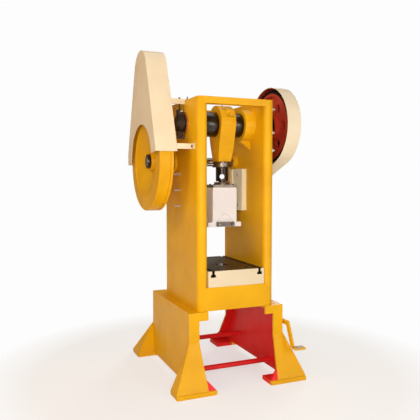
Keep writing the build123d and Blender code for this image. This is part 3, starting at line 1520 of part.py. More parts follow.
with BuildPart() as brake_anchor:
    with BuildSketch(side_plane(-brake_outer_x)) as anchor_round:
        with Locations(brake_anchor_place):
            Circle(brake_anchor_radius)
    extrude(amount=brake_outer_x - half_width + guard_bolt_reach)
    with BuildSketch(side_plane(-band_inner_x + working_gap)) as anchor_shoulder:
        with Locations(brake_anchor_place):
            Circle(1.5 * brake_anchor_radius)
    extrude(amount=band_inner_x - working_gap - half_width)
brake_anchor.part.label = "brake_anchor"
export_step(brake_anchor.part, "parts/brake_anchor.step")

# Foot pedal on the right stand
pedal_boss_face = stand_outer_x + pedal_boss_length
pedal_inner_x = pedal_boss_face + 5
pedal_thickness = 18
pedal_outer_x = pedal_inner_x + pedal_thickness
pedal_pin_end = pedal_outer_x + 9
lever_half = 20
trip_arm = 100
pull_y = trip_pivot_place[0] - trip_arm
lever_rear = (pull_y, pedal_pivot_place[1])
lever_elbow = (pedal_pivot_place[0] - 170, pedal_pivot_place[1])
lever_toe = (lever_elbow[0] - 85, lever_elbow[1] - 188)
pad_front_y = lever_toe[0] - 67
pad_back_y = lever_toe[0] + 10
pad_thickness = 14
pad_outer_x = pedal_inner_x + 105
pedal_hub_radius = 30
link_pin_radius = 7
pull_inner_x = stand_outer_x + 10
link_pin_inner_x = pull_inner_x - side_gap
with BuildPart() as pedal_lever:
    with BuildSketch(side_plane(pedal_inner_x)) as lever_face:
        for start, end in ((lever_rear, lever_elbow), (lever_elbow, lever_toe)):
            with BuildLine():
                Polyline(*bar_corners(start, end, lever_half), close=True)
            make_face()
        with Locations(lever_rear, lever_elbow):
            Circle(lever_half)
        with Locations(pedal_pivot_place):
            Circle(pedal_hub_radius)
    extrude(amount=pedal_thickness)
    with BuildSketch(side_plane(pedal_boss_face + working_gap)) as pedal_hub:
        with Locations(pedal_pivot_place):
            Circle(pedal_hub_radius)
    extrude(amount=pedal_inner_x - pedal_boss_face - working_gap)
    with BuildSketch(Plane.XY.offset(lever_toe[1] - pad_thickness)) as pedal_pad:
        with Locations(((pedal_inner_x + pad_outer_x) / 2, (pad_front_y + pad_back_y) / 2)):
            Rectangle(pad_outer_x - pedal_inner_x, pad_back_y - pad_front_y)
        fillet(pedal_pad.vertices(), lever_half / 2)
    extrude(amount=pad_thickness)
    with BuildSketch(side_plane(pedal_boss_face)) as lever_bores:
        with Locations(pedal_pivot_place):
            Circle(pedal_pin_radius + journal_gap)
        with Locations(lever_rear):
            Circle(link_pin_radius)
    extrude(amount=pedal_outer_x - pedal_boss_face, mode=Mode.SUBTRACT)
pedal_lever.part.label = "pedal_lever"
export_step(pedal_lever.part, "parts/pedal_lever.step")

pedal_washer_radius = 24
with BuildPart() as pedal_pivot:
    with BuildSketch(side_plane(stand_outer_x - web_thickness)) as pedal_pin:
        with Locations(pedal_pivot_place):
            Circle(pedal_pin_radius)
    extrude(amount=pedal_pin_end - stand_outer_x + web_thickness)
    with BuildSketch(side_plane(pedal_outer_x + working_gap)) as pedal_washer:
        with Locations(pedal_pivot_place):
            Circle(pedal_washer_radius)
    extrude(amount=pedal_pin_end - pedal_outer_x - working_gap)
pedal_pivot.part.label = "pedal_pivot"
export_step(pedal_pivot.part, "parts/pedal_pivot.step")

# Pull rod from the pedal to the clutch trip lever
pull_eye_thickness = 7
pull_eye_radius = 17
pull_slot = 6
pull_rod_radius = 5
trip_inner_x = pull_inner_x - 18
trip_thickness = 16
trip_pin_place = (pull_y, trip_pivot_place[1])
trip_nose = (trip_pivot_place[0] - 42, trip_pivot_place[1] + 154)
trip_half = 15
trip_hub_radius = 28
trip_pin_end = trip_inner_x + trip_thickness + 8
with BuildPart() as pull_rod:
    with BuildSketch(side_plane(pull_inner_x)) as pull_eyes:
        with Locations(lever_rear, trip_pin_place):
            Circle(pull_eye_radius)
            SlotCenterToCenter(pull_slot, 2 * (link_pin_radius + sliding_gap), mode=Mode.SUBTRACT)
    extrude(amount=pull_eye_thickness)
    with BuildSketch(Plane.XY.offset(lever_rear[1] + pull_eye_radius - side_gap)) as pull_round:
        with Locations((pull_inner_x + pull_eye_thickness / 2, pull_y)):
            Circle(pull_rod_radius)
    extrude(amount=trip_pin_place[1] - lever_rear[1] - 2 * (pull_eye_radius - side_gap))
pull_rod.part.label = "pull_rod"
export_step(pull_rod.part, "parts/pull_rod.step")

with BuildPart() as pedal_link_pin:
    with BuildSketch(side_plane(link_pin_inner_x)) as pedal_link_round:
        with Locations(lever_rear):
            Circle(link_pin_radius)
    extrude(amount=pedal_outer_x - link_pin_inner_x)
pedal_link_pin.part.label = "pedal_link_pin"
export_step(pedal_link_pin.part, "parts/pedal_link_pin.step")

with BuildPart() as trip_link_pin:
    with BuildSketch(side_plane(trip_inner_x)) as trip_link_round:
        with Locations(trip_pin_place):
            Circle(link_pin_radius)
    extrude(amount=pull_inner_x + pull_eye_thickness + side_gap - trip_inner_x)
trip_link_pin.part.label = "trip_link_pin"
export_step(trip_link_pin.part, "parts/trip_link_pin.step")

with BuildPart() as trip_lever:
    with BuildSketch(side_plane(trip_inner_x)) as trip_face:
        for end in (trip_pin_place, trip_nose):
            with BuildLine():
                Polyline(*bar_corners(trip_pivot_place, end, trip_half), close=True)
            make_face()
        with Locations(trip_pin_place, trip_nose):
            Circle(trip_half)
        with Locations(trip_pivot_place):
            Circle(trip_hub_radius)
            Circle(trip_pivot_radius + journal_gap, mode=Mode.SUBTRACT)
        with Locations(trip_pin_place):
            Circle(link_pin_radius, mode=Mode.SUBTRACT)
    extrude(amount=trip_thickness)
trip_lever.part.label = "trip_lever"
export_step(trip_lever.part, "parts/trip_lever.step")

trip_sleeve_radius = 20
with BuildPart() as trip_pivot:
    with BuildSketch(side_plane(half_width - guard_bolt_reach)) as trip_pin:
        with Locations(trip_pivot_place):
            Circle(trip_pivot_radius)
    extrude(amount=trip_pin_end - half_width + guard_bolt_reach)
    with BuildSketch(side_plane(half_width)) as trip_sleeve:
        with Locations(trip_pivot_place):
            Circle(trip_sleeve_radius)
    extrude(amount=trip_inner_x - working_gap - half_width)
    with BuildSketch(side_plane(trip_inner_x + trip_thickness + working_gap)) as trip_washer:
        with Locations(trip_pivot_place):
            Circle(trip_sleeve_radius)
    extrude(amount=trip_pin_end - trip_inner_x - trip_thickness - working_gap)
trip_pivot.part.label = "trip_pivot"
export_step(trip_pivot.part, "parts/trip_pivot.step")
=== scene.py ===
import bpy, bmesh, math
from mathutils import Matrix, Vector


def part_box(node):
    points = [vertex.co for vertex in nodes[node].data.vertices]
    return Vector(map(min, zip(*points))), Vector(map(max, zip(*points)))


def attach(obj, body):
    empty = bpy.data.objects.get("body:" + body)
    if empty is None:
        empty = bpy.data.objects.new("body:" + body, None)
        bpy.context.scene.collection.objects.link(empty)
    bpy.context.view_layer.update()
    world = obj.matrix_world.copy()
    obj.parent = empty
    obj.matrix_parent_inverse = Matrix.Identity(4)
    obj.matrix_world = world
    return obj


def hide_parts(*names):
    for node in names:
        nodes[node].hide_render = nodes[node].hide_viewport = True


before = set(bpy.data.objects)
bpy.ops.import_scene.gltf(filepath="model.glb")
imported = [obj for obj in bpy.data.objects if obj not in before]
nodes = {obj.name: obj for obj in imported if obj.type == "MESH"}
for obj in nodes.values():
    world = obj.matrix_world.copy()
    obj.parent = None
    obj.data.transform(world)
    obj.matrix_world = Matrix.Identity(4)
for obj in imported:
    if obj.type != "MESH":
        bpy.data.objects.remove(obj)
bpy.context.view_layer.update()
print("frame loaded", len(nodes))


# places read from the solids, in metres
def middle(name):
    low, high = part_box(name)
    return (Vector(low) + Vector(high)) / 2


def lowOf(name):
    return Vector(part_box(name)[0])


def highOf(name):
    return Vector(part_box(name)[1])


crankAxis = middle("end_plate")  # the crank runs along X through here
backAxis = middle("flywheel")  # and the flywheel shaft through here
columnSide = highOf("press_frame").x
bolsterLow, bolsterHigh = lowOf("bolster"), highOf("bolster")
standLow, standHigh = lowOf("right_stand"), highOf("right_stand")

# plates of the two stands, which splay at knee height; paint and welds both follow them
standPlates = {"web": 0.022, "leg": 0.020, "top": 0.025, "foot": 0.035, "splayX": 0.154,
               "frontToe": 0.145, "frontKnee": 0.395, "rearToe": 0.190, "rearKnee": 0.330}
webEdge = standHigh.x - standPlates["splayX"]
webInner = webEdge - standPlates["web"]
frontEdge, rearEdge = standLow.y + standPlates["frontToe"], standHigh.y - standPlates["rearToe"]
frontInner, rearInner = frontEdge + standPlates["leg"], rearEdge - standPlates["leg"]
underTop = standHigh.z - standPlates["top"]


# colours and node helpers
def srgb(code):
    values = [int(code[i:i + 2], 16) / 255 for i in (0, 2, 4)]
    return tuple(v / 12.92 if v <= 0.04045 else ((v + 0.055) / 1.055) ** 2.4 for v in values) + (1,)


def perMetre(sizeMm):
    return 1000 / sizeMm  # texture scale for a feature of this size


def addNode(tree, kind, links=None, **settings):
    # a link is a socket, a node whose first output is meant, or a plain value
    node = tree.nodes.new(kind)
    for key, value in settings.items():
        setattr(node, key, value)
    for socket, value in (links or {}).items():
        if isinstance(value, bpy.types.Node):
            value = value.outputs[0]
        if isinstance(value, bpy.types.NodeSocket):
            tree.links.new(value, node.inputs[socket])
        else:
            node.inputs[socket].default_value = value
    return node


def newMaterial(name):
    mat = bpy.data.materials.new(name)
    mat.use_nodes = True
    tree = mat.node_tree
    tree.nodes.clear()
    coords = addNode(tree, "ShaderNodeTexCoord").outputs["Object"]
    return mat, tree, coords


def finishMaterial(tree, colour, roughness, height, depth, more):
    bump = addNode(tree, "ShaderNodeBump", {"Height": height, "Distance": depth, "Strength": 0.5})
    shader = addNode(tree, "ShaderNodeBsdfPrincipled",
                     {"Base Color": colour, "Roughness": roughness, "Normal": bump, **more})
    addNode(tree, "ShaderNodeOutputMaterial", {"Surface": shader})


noiseLow, noiseHigh = 0.3, 0.7  # nearly all of a noise texture's values lie between these


def clouds(tree, coords, sizeMm, low, high, detail=3):
    # soft patches of this size whose value runs from low to high
    cloud = addNode(tree, "ShaderNodeTexNoise",
                    {"Vector": coords, "Scale": perMetre(sizeMm), "Detail": detail})
    return addNode(tree, "ShaderNodeMapRange", {"Value": cloud, "From Min": noiseLow, "From Max": noiseHigh,
                                                "To Min": low, "To Max": high})


def shades(tree, coords, sizeMm, light, dark, detail=3):
    # two shades of one colour that drift into each other
    drift = clouds(tree, coords, sizeMm, 0, 1, detail)
    mix = addNode(tree, "ShaderNodeMix", {0: drift, 6: srgb(light), 7: srgb(dark)}, data_type="RGBA")
    return mix.outputs[2]


# areas of a piece, 1 inside and 0 outside
def insideOf(tree, coords, planes):
    # each plane is a direction and how far along it the limit stands
    area = 1.0
    for direction, limit in planes:
        reach = addNode(tree, "ShaderNodeVectorMath", {0: coords, 1: direction}, operation="DOT_PRODUCT")
        within = addNode(tree, "ShaderNodeMath", {0: reach.outputs["Value"], 1: limit},
                         operation="LESS_THAN")
        area = addNode(tree, "ShaderNodeMath", {0: area, 1: within}, operation="MULTIPLY")
    return area


def roundShaft(tree, coords, axis, radius):
    # a round area about a shaft that runs along X
    flat = addNode(tree, "ShaderNodeVectorMath", {0: coords, 1: (0, 1, 1)}, operation="MULTIPLY")
    away = addNode(tree, "ShaderNodeVectorMath", {0: flat, 1: (0, axis.y, axis.z)}, operation="DISTANCE")
    return addNode(tree, "ShaderNodeMath", {0: away.outputs["Value"], 1: radius}, operation="LESS_THAN")


def joinAreas(tree, areas, operation):
    # MAXIMUM where any area is enough, MULTIPLY where all must hold
    joined = areas[0]
    for area in areas[1:]:
        joined = addNode(tree, "ShaderNodeMath", {0: joined, 1: area}, operation=operation)
    return joined


# sprayed machine enamel over primer: soft gloss smeared by hands, faint orange peel about 4 mm across
enamel = {"gloss": 0.4, "peelMm": 4, "peelDepth": 0.0004, "driftMm": 320, "smearMm": 110}
paintCoat = {"Coat Weight": 0.04, "Coat Roughness": 0.25, "Specular IOR Level": 0.22}


def finishEnamel(tree, coords, colour, smooth, rough):
    peel = addNode(tree, "ShaderNodeTexNoise",
                   {"Vector": coords, "Scale": perMetre(enamel["peelMm"]), "Detail": 2})
    finishMaterial(tree, colour, clouds(tree, coords, enamel["smearMm"], smooth, rough, 4),
                   peel, enamel["peelDepth"], paintCoat)


# grey-brown dust that settles near the floor, broken up in patches
dust = {"patchMm": 45, "thin": 0.2}


def shopDust(tree, coords, colour, code, reach, amount):
    height = addNode(tree, "ShaderNodeSeparateXYZ", {"Vector": coords}).outputs["Z"]
    fade = addNode(tree, "ShaderNodeMapRange",
                   {"Value": height, "From Max": reach, "To Min": amount, "To Max": 0})
    patches = clouds(tree, coords, dust["patchMm"], dust["thin"], 1, 5)
    patchy = addNode(tree, "ShaderNodeMath", {0: fade, 1: patches}, operation="MULTIPLY")
    dusty = addNode(tree, "ShaderNodeMix", {0: patchy, 6: colour, 7: srgb(code)}, data_type="RGBA")
    return dusty.outputs[2]


def enamelPaint(name, light, dark, gloss=enamel["gloss"], lowDust=None):
    mat, tree, coords = newMaterial(name)
    colour = shades(tree, coords, enamel["driftMm"], light, dark)
    if lowDust:
        colour = shopDust(tree, coords, colour, *lowDust)
    finishEnamel(tree, coords, colour, gloss - 0.05, gloss + 0.09)
    return mat


# thick enamel brushed over grey iron castings: the sand skin shows as soft dimples of 6 to 11 mm
casting = {"skinMm": 11, "pitMm": 6.5, "depth": 0.0006, "gloss": 0.4}


def castingPaint(name, light, dark):
    mat, tree, coords = newMaterial(name)
    colour = shades(tree, coords, enamel["driftMm"], light, dark)
    skin = addNode(tree, "ShaderNodeTexNoise",
                   {"Vector": coords, "Scale": perMetre(casting["skinMm"]), "Detail": 5})
    pits = addNode(tree, "ShaderNodeTexVoronoi", {"Vector": coords, "Scale": perMetre(casting["pitMm"])})
    height = addNode(tree, "ShaderNodeMath", {0: skin, 1: pits}, operation="ADD")
    rough = clouds(tree, coords, casting["skinMm"], casting["gloss"] - 0.05, casting["gloss"] + 0.1, 5)
    finishMaterial(tree, colour, rough, height, casting["depth"], paintCoat)
    return mat


# cut steel and iron: tool marks 1.4 mm apart across one axis, oil stains 70 mm wide
cutMarks = {"markMm": 1.4, "runMm": 160, "stainMm": 70, "depth": 0.00018}


def toolMarks(tree, coords, axis, markMm, smooth, rough, detail=2):
    # long marks across the axis, and the gloss that goes with them
    across, along = perMetre(markMm), perMetre(cutMarks["runMm"])
    stretch = [across if letter == axis else along for letter in "XYZ"]
    lined = addNode(tree, "ShaderNodeMapping", {"Vector": coords, "Scale": stretch})
    marks = addNode(tree, "ShaderNodeTexNoise", {"Vector": lined, "Scale": 1, "Detail": detail})
    gloss = addNode(tree, "ShaderNodeMapRange", {"Value": marks, "From Min": noiseLow, "From Max": noiseHigh,
                                                 "To Min": smooth, "To Max": rough})
    return marks, gloss


def bareMetal(name, light, dark, rough, axis="X", markMm=cutMarks["markMm"], oil=0.0, metallic=1.0):
    mat, tree, coords = newMaterial(name)
    colour = shades(tree, coords, cutMarks["stainMm"], light, dark, 5)
    marks, gloss = toolMarks(tree, coords, axis, markMm, rough - 0.07, rough + 0.1)
    finishMaterial(tree, colour, gloss, marks, cutMarks["depth"],
                   {"Metallic": metallic, "Coat Weight": oil, "Coat Roughness": 0.2})
    return mat


def dullStuff(name, light, dark, rough, grainMm, depth, metallic=0.0):
    mat, tree, coords = newMaterial(name)
    grain = addNode(tree, "ShaderNodeTexNoise", {"Vector": coords, "Scale": perMetre(grainMm), "Detail": 4})
    finishMaterial(tree, shades(tree, coords, grainMm, light, dark, 4),
                   clouds(tree, coords, grainMm, rough - 0.06, rough + 0.06, 4), grain, depth,
                   {"Metallic": metallic})
    return mat


# legs of the press: yellow outside, red on every face that looks inward between the legs
# toe values bound the red inner corner of each foot, in metres; dust is a colour, its height and its amount
standPaint = {"outside": ("EBB60C", "E0A808"), "inside": ("F22C2C", "E42024"), "skin": 0.0013,
              "toeIn": 0.2739, "toeLean": 0.07, "toeFrom": 0.0356, "toeTo": 0.13,
              "dust": ("7A6A50", 0.14, 0.14), "gloss": (0.33, 0.46)}


def standEnamel(name):
    mat, tree, coords = newMaterial(name)
    skin = standPaint["skin"]
    frontLean = standPlates["frontToe"] / standPlates["frontKnee"]
    rearLean = standPlates["rearToe"] / standPlates["rearKnee"]
    webIn, frontIn, rearIn = webInner + skin, frontInner - skin, rearInner + skin
    between = insideOf(tree, coords, [((1, 0, 0), webIn), ((-1, 0, 0), webIn),
                                      ((0, 0, 1), underTop + skin)])
    # behind the front legs and before the rear ones, upright above the knees and splayed below
    frontPlanes = [((0, -1, 0), -frontIn),
                   ((0, -1, frontLean), frontLean * standPlates["frontKnee"] - frontIn)]
    rearPlanes = [((0, 1, 0), rearIn), ((0, 1, rearLean), rearLean * standPlates["rearKnee"] + rearIn)]
    behindFront = joinAreas(tree, [insideOf(tree, coords, [plane]) for plane in frontPlanes], "MAXIMUM")
    beforeRear = joinAreas(tree, [insideOf(tree, coords, [plane]) for plane in rearPlanes], "MAXIMUM")
    inner = joinAreas(tree, [between, behindFront, beforeRear], "MULTIPLY")
    toeX, lean = standHigh.x - standPaint["toeIn"], standPaint["toeLean"]
    toes = insideOf(tree, coords, [((1, 0, -lean), toeX), ((-1, 0, -lean), toeX),
                                   ((0, 0, -1), -standPaint["toeFrom"]), ((0, 0, 1), standPaint["toeTo"])])
    inner = joinAreas(tree, [inner, toes], "MAXIMUM")  # inner corner of each foot is red as well
    outside = shades(tree, coords, enamel["driftMm"], *standPaint["outside"])
    inside = shades(tree, coords, enamel["driftMm"], *standPaint["inside"])
    paint = addNode(tree, "ShaderNodeMix", {0: inner, 6: outside, 7: inside}, data_type="RGBA").outputs[2]
    finishEnamel(tree, coords, shopDust(tree, coords, paint, *standPaint["dust"]),
                 *standPaint["gloss"])
    return mat


# sheet guard of the gear: cream outside, red oxide inside, darkened to near black low down by painted shade
gearGuard = {"bigRadius": 0.352, "smallRadius": 0.165, "sheet": 0.0035, "faceSheet": 0.0005,
             "outside": ("EEE6D0", "E6DCC2"), "oxide": "BA4028", "paintedShade": "3A1C17",
             "paintedShadeLow": -0.02, "paintedShadeHigh": 0.2, "raggedMm": 60, "ragged": 0.05, "gloss": (0.34, 0.46)}


def gearGuardEnamel(name):
    mat, tree, coords = newMaterial(name)
    bigIn = gearGuard["bigRadius"] - gearGuard["sheet"]
    smallIn = gearGuard["smallRadius"] - gearGuard["sheet"]
    along = Vector((0, backAxis.y - crankAxis.y, backAxis.z - crankAxis.z))
    reach = along.length
    along.normalize()
    aside = Vector((0, -along.z, along.y))
    lean = math.asin((bigIn - smallIn) / reach)
    slant = along * math.sin(lean)
    # the straight sides that touch both rounds, and the two ends where they leave them
    sides = [(slant + aside * math.cos(lean), bigIn), (slant - aside * math.cos(lean), bigIn),
             (-along, -bigIn * math.sin(lean)), (along, reach + smallIn * math.sin(lean))]
    strip = insideOf(tree, coords, [(way, limit + way.dot(crankAxis)) for way, limit in sides])
    pear = joinAreas(tree, [strip, roundShaft(tree, coords, crankAxis, bigIn),
                            roundShaft(tree, coords, backAxis, smallIn)], "MAXIMUM")
    beforeFace = insideOf(tree, coords, [((1, 0, 0), highOf("gear_guard").x - gearGuard["faceSheet"])])
    inner = joinAreas(tree, [pear, beforeFace], "MULTIPLY")
    # painted shade: the red inside turns to near black towards the bottom, with a ragged edge
    height = addNode(tree, "ShaderNodeSeparateXYZ", {"Vector": coords}).outputs["Z"]
    wander = clouds(tree, coords, gearGuard["raggedMm"], -gearGuard["ragged"], gearGuard["ragged"], 4)
    ragged = addNode(tree, "ShaderNodeMath", {0: height, 1: wander}, operation="ADD")
    lowest, highest = crankAxis.z + gearGuard["paintedShadeLow"], crankAxis.z + gearGuard["paintedShadeHigh"]
    paintedShade = addNode(tree, "ShaderNodeMapRange", {"Value": ragged, "From Min": lowest, "From Max": highest,
                                                  "To Min": 1, "To Max": 0})
    inside = addNode(tree, "ShaderNodeMix", {0: paintedShade, 6: srgb(gearGuard["oxide"]),
                                             7: srgb(gearGuard["paintedShade"])}, data_type="RGBA").outputs[2]
    outside = shades(tree, coords, enamel["driftMm"], *gearGuard["outside"])
    paint = addNode(tree, "ShaderNodeMix", {0: inner, 6: outside, 7: inside}, data_type="RGBA").outputs[2]
    finishEnamel(tree, coords, paint, *gearGuard["gloss"])
    return mat


# two finishes on one casting: bare where a rule on place says so, painted elsewhere
halfBare = {"gloss": (0.36, 0.48), "markMm": 2.5, "metal": 0.9}


def partBare(name, rule, paintCodes, bareCodes, bareRough, axis):
    mat, tree, coords = newMaterial(name)
    bare = rule(tree, coords)
    marks, cut = toolMarks(tree, coords, axis, halfBare["markMm"], bareRough - 0.06, bareRough + 0.12, 3)
    paint = shades(tree, coords, enamel["driftMm"], *paintCodes)
    stained = shades(tree, coords, cutMarks["stainMm"], *bareCodes, 5)
    colour = addNode(tree, "ShaderNodeMix", {0: bare, 6: paint, 7: stained}, data_type="RGBA").outputs[2]
    painted = clouds(tree, coords, enamel["smearMm"], *halfBare["gloss"], 4)
    rough = addNode(tree, "ShaderNodeMix", {0: bare, 2: painted, 3: cut})
    height = addNode(tree, "ShaderNodeMath", {0: marks, 1: bare}, operation="MULTIPLY")
    metal = addNode(tree, "ShaderNodeMath", {0: bare, 1: halfBare["metal"]}, operation="MULTIPLY")
    finishMaterial(tree, colour, rough, height, cutMarks["depth"], {"Metallic": metal})
    return mat


def onBolsterTop(tree, coords):
    rim = 0.0012  # everything inside the four sides: the top, the slots and the hole
    return insideOf(tree, coords, [((1, 0, 0), bolsterHigh.x - rim), ((-1, 0, 0), -bolsterLow.x - rim),
                                   ((0, 1, 0), bolsterHigh.y - rim), ((0, -1, 0), -bolsterLow.y - rim),
                                   ((0, 0, -1), -bolsterLow.z - rim)])


def onRamSlides(tree, coords):
    slideX, footSkin = 0.2125, 0.0008
    body = insideOf(tree, coords, [((1, 0, 0), slideX), ((-1, 0, 0), slideX),
                                   ((0, 0, -1), -lowOf("ram").z - footSkin)])
    return addNode(tree, "ShaderNodeMath", {0: 1, 1: body}, operation="SUBTRACT")  # all but the body


def onGearRim(tree, coords):
    rimRadius = 0.3
    web = roundShaft(tree, coords, crankAxis, rimRadius)
    return addNode(tree, "ShaderNodeMath", {0: 1, 1: web}, operation="SUBTRACT")  # teeth and their rim


# finishes, each named for the real one
enamelYellow = enamelPaint("sprayedYellowEnamel", "EBB60C", "E0A808")  # golden yellow, soft gloss
enamelCasting = castingPaint("yellowEnamelOnCasting", "EBB60C", "DDA407")  # the same over sand-cast iron
enamelStand = standEnamel("yellowAndRedStandEnamel")  # two colours on one fabrication
enamelCream = enamelPaint("sprayedCreamEnamel", "EFE6CE", "E7DBBE", 0.42)  # warm cream on sheet steel
enamelRed = enamelPaint("sprayedRedEnamel", "E8282A", "D41C20", 0.36, ("6B4A42", 0.16, 0.2))  # signal red
enamelGear = partBare("redEnamelGearWithGreasyTeeth", onGearRim, ("C8402A", "A8301E"),
                      ("3A3430", "241F1C"), 0.34, "X")  # red cast body, dark greased teeth
enamelGuard = gearGuardEnamel("creamAndRedGuardEnamel")  # cream outside, red inside with painted shade low down
paintedRam = partBare("whiteEnamelRamWithGroundSlides", onRamSlides, ("EBEDF3", "E2E3EA"),
                      ("9C9A96", "807C77"), 0.28, "Z")  # off-white body, ground bearing faces
paintedBolster = partBare("creamBolsterWithOiledTop", onBolsterTop, ("E4DAC0", "DCD0B2"),
                          ("6A6660", "46423E"), 0.34, "Y")  # cream sides, milled and oiled top
guideWhite = enamelPaint("whiteEnamelOnGuides", "F8F4DE", "F0EACE", 0.38)  # paler than the guards
turnedSteel = bareMetal("turnedSteel", "A09E9A", "86827C", 0.27)  # lathe marks round a shaft
greySteel = bareMetal("groundSteel", "9B9A98", "7C7974", 0.25, "Z")  # fine upright grinding marks
zincSteel = bareMetal("zincPlatedSteel", "E2E0DC", "C6C3BC", 0.34, "Y", 3, metallic=0.75)  # bright plating
oiledForging = bareMetal("oiledForgedSteel", "4C4843", "312E2B", 0.26, "X", 3, 0.35)  # wet dark webs
oiledSteel = bareMetal("oiledSteel", "4A4641", "2F2C29", 0.34, "X", 2, 0.3)  # dark film of old oil
blackOxide = bareMetal("blackOxideSteel", "3A3632", "26231F", 0.38, "Z", 2.2, 0.25)  # blackened screw
satinOxide = bareMetal("wornBlackOxideSteel", "7E756C", "544D46", 0.33, "X", 2.2, 0.15)  # rubbed bright
bandSteel = dullStuff("oilyBandSteel", "4A3A2E", "2C2620", 0.5, 16, 0.0004, 0.5)  # brown-black oily band
castIronBare = bareMetal("turnedGreyIron", "57534E", "3E3B37", 0.42, "X", 2)  # drum with its skin turned off
bronze = bareMetal("castBronze", "DD9A50", "B97A38", 0.34, "X", 2, metallic=0.7)  # bearing shells
brakeWeave = dullStuff("wovenBrakeLining", "4A3B2C", "33281E", 0.78, 3, 0.0006)  # woven pad with brass dust
wornRib = bareMetal("wornTreadSteel", "A8A29A", "7D7468", 0.36, "Y", 3)  # ribs polished by boots
brass = bareMetal("brassFitting", "C9A556", "A6843C", 0.3, "Z", 2)  # grease nipples

materialOf = {
    "press_frame": enamelYellow, "left_stand": enamelStand, "right_stand": enamelStand,
    "tie_bars": enamelRed, "frame_bolts": oiledSteel, "bolster": paintedBolster,
    "bolster_bolts": blackOxide, "crank_bushes": bronze, "back_shaft_bushes": bronze,
    "shaft_housings": enamelCasting, "housing_bolts": oiledSteel, "crankshaft": oiledForging,
    "crank_keys": oiledSteel, "clutch_collar": oiledSteel, "end_plate": turnedSteel,
    "end_plate_bolts": oiledSteel, "bull_gear": enamelGear, "gear_bush": bronze,
    "back_shaft": turnedSteel, "shaft_keys": oiledSteel, "pinion": oiledSteel,
    "flywheel": enamelCasting, "flywheel_nut": oiledSteel, "rod_cap": enamelCasting,
    "connecting_rod": enamelCasting, "rod_bushes": bronze, "rod_bolts": oiledSteel,
    "adjusting_screw": blackOxide, "lock_nut": satinOxide, "nut_bar": greySteel,
    "ram": paintedRam, "ball_seat": bronze, "ball_cap": satinOxide, "cap_bolts": blackOxide,
    "clamp_block": paintedRam, "clamp_bar": satinOxide, "clamp_studs": greySteel,
    "clamp_nuts": satinOxide, "left_guide": guideWhite, "right_guide": guideWhite,
    "guide_bolts": zincSteel, "guide_nuts": zincSteel, "gear_guard": enamelGuard,
    "belt_guard": enamelCream, "guard_bolts": satinOxide, "brake_drum": castIronBare,
    "brake_lining": brakeWeave, "brake_band": bandSteel, "brake_bolt": zincSteel,
    "brake_spring": greySteel, "brake_anchor": greySteel, "pedal_lever": enamelCasting,
    "pedal_pivot": greySteel, "pull_rod": greySteel, "pedal_link_pin": greySteel,
    "trip_link_pin": greySteel, "trip_lever": oiledSteel, "trip_pivot": greySteel,
}
for name, mat in materialOf.items():
    nodes[name].data.materials.clear()
    nodes[name].data.materials.append(mat)
print("materials done")

# softened edges on the solids, in metres
edgeSize = {
    "press_frame": 0.004, "left_stand": 0.0025, "right_stand": 0.0025, "bolster": 0.002,
    "ram": 0.003, "left_guide": 0.002, "right_guide": 0.002, "connecting_rod": 0.003,
    "rod_cap": 0.003, "crankshaft": 0.002, "clutch_collar": 0.002, "brake_drum": 0.0015,
    "pedal_lever": 0.002, "ball_cap": 0.0015, "clamp_block": 0.001, "clamp_bar": 0.0015,
    "lock_nut": 0.0015, "shaft_housings": 0.003, "trip_lever": 0.0015,
}
weldGap = 0.00002
for name, size in edgeSize.items():
    piece = nodes[name]
    weld = piece.modifiers.new("weld", "WELD")
    weld.merge_threshold = weldGap
    bevel = piece.modifiers.new("edges", "BEVEL")
    bevel.width = size
    bevel.segments = 2
    bevel.limit_method = "ANGLE"
    bevel.angle_limit = math.radians(35)
    bevel.harden_normals = True
    bevel.miter_outer = "MITER_ARC"
print("edges done")


# small pieces: each helper adds one shape to a bmesh, built along Z and then put in place
def turnTo(direction, place):
    turn = Vector(direction).to_track_quat("Z", "Y").to_matrix().to_4x4()
    return Matrix.Translation(Vector(place)) @ turn


def edgesOf(verts):
    # each edge once, in the order it is met
    return list(dict.fromkeys(edge for vert in verts for edge in vert.link_edges))


def addLathe(bm, profile, place, direction=(0, 0, 1), steps=24):
    before = set(bm.verts)
    points = [bm.verts.new((radius, 0, height)) for radius, height in profile]
    edges = [bm.edges.new(pair) for pair in zip(points, points[1:])]
    bmesh.ops.spin(bm, geom=points + edges, cent=(0, 0, 0), axis=(0, 0, 1), dvec=(0, 0, 0),
                   angle=math.tau, steps=steps, use_merge=True, use_duplicate=False)
    bmesh.ops.transform(bm, matrix=turnTo(direction, place),
                        verts=[vert for vert in bm.verts if vert not in before])


def addHex(bm, place, direction, across, height, soften=0.0008):
    made = bmesh.ops.create_cone(bm, cap_ends=True, cap_tris=False, segments=6, radius1=across / math.sqrt(3),
                                 radius2=across / math.sqrt(3), depth=height,
                                 matrix=turnTo(direction, place) @ Matrix.Translation((0, 0, height / 2)))
    bmesh.ops.bevel(bm, geom=edgesOf(made["verts"]), offset=soften, offset_type="OFFSET", segments=2,
                    profile=0.5, affect="EDGES", material=-1)


def addRun(bm, start, end, radius, ripple=0.0, stepLength=0.0, segments=8):
    # a round bar from start to end; with a ripple it becomes a weld bead
    start, end = Vector(start), Vector(end)
    length = (end - start).length
    count = max(1, int(length / stepLength)) if stepLength else 1
    made = bmesh.ops.create_circle(bm, cap_ends=True, radius=radius, segments=segments,
                                   matrix=turnTo(end - start, start))
    ring = edgesOf(made["verts"])
    for step in range(1, count + 1):
        out = bmesh.ops.extrude_edge_only(bm, edges=ring)["geom"]
        verts = [part for part in out if isinstance(part, bmesh.types.BMVert)]
        ring = [part for part in out if isinstance(part, bmesh.types.BMEdge)
                and all(vert in verts for vert in part.verts)]
        bmesh.ops.translate(bm, vec=(end - start) / count, verts=verts)
        centre = start + (end - start) * step / count
        factor = 1 + ripple if step % 2 else 1 / (1 + ripple)
        bmesh.ops.scale(bm, vec=(factor,) * 3, space=Matrix.Translation(-centre), verts=verts)
    bmesh.ops.holes_fill(bm, edges=ring, sides=segments)


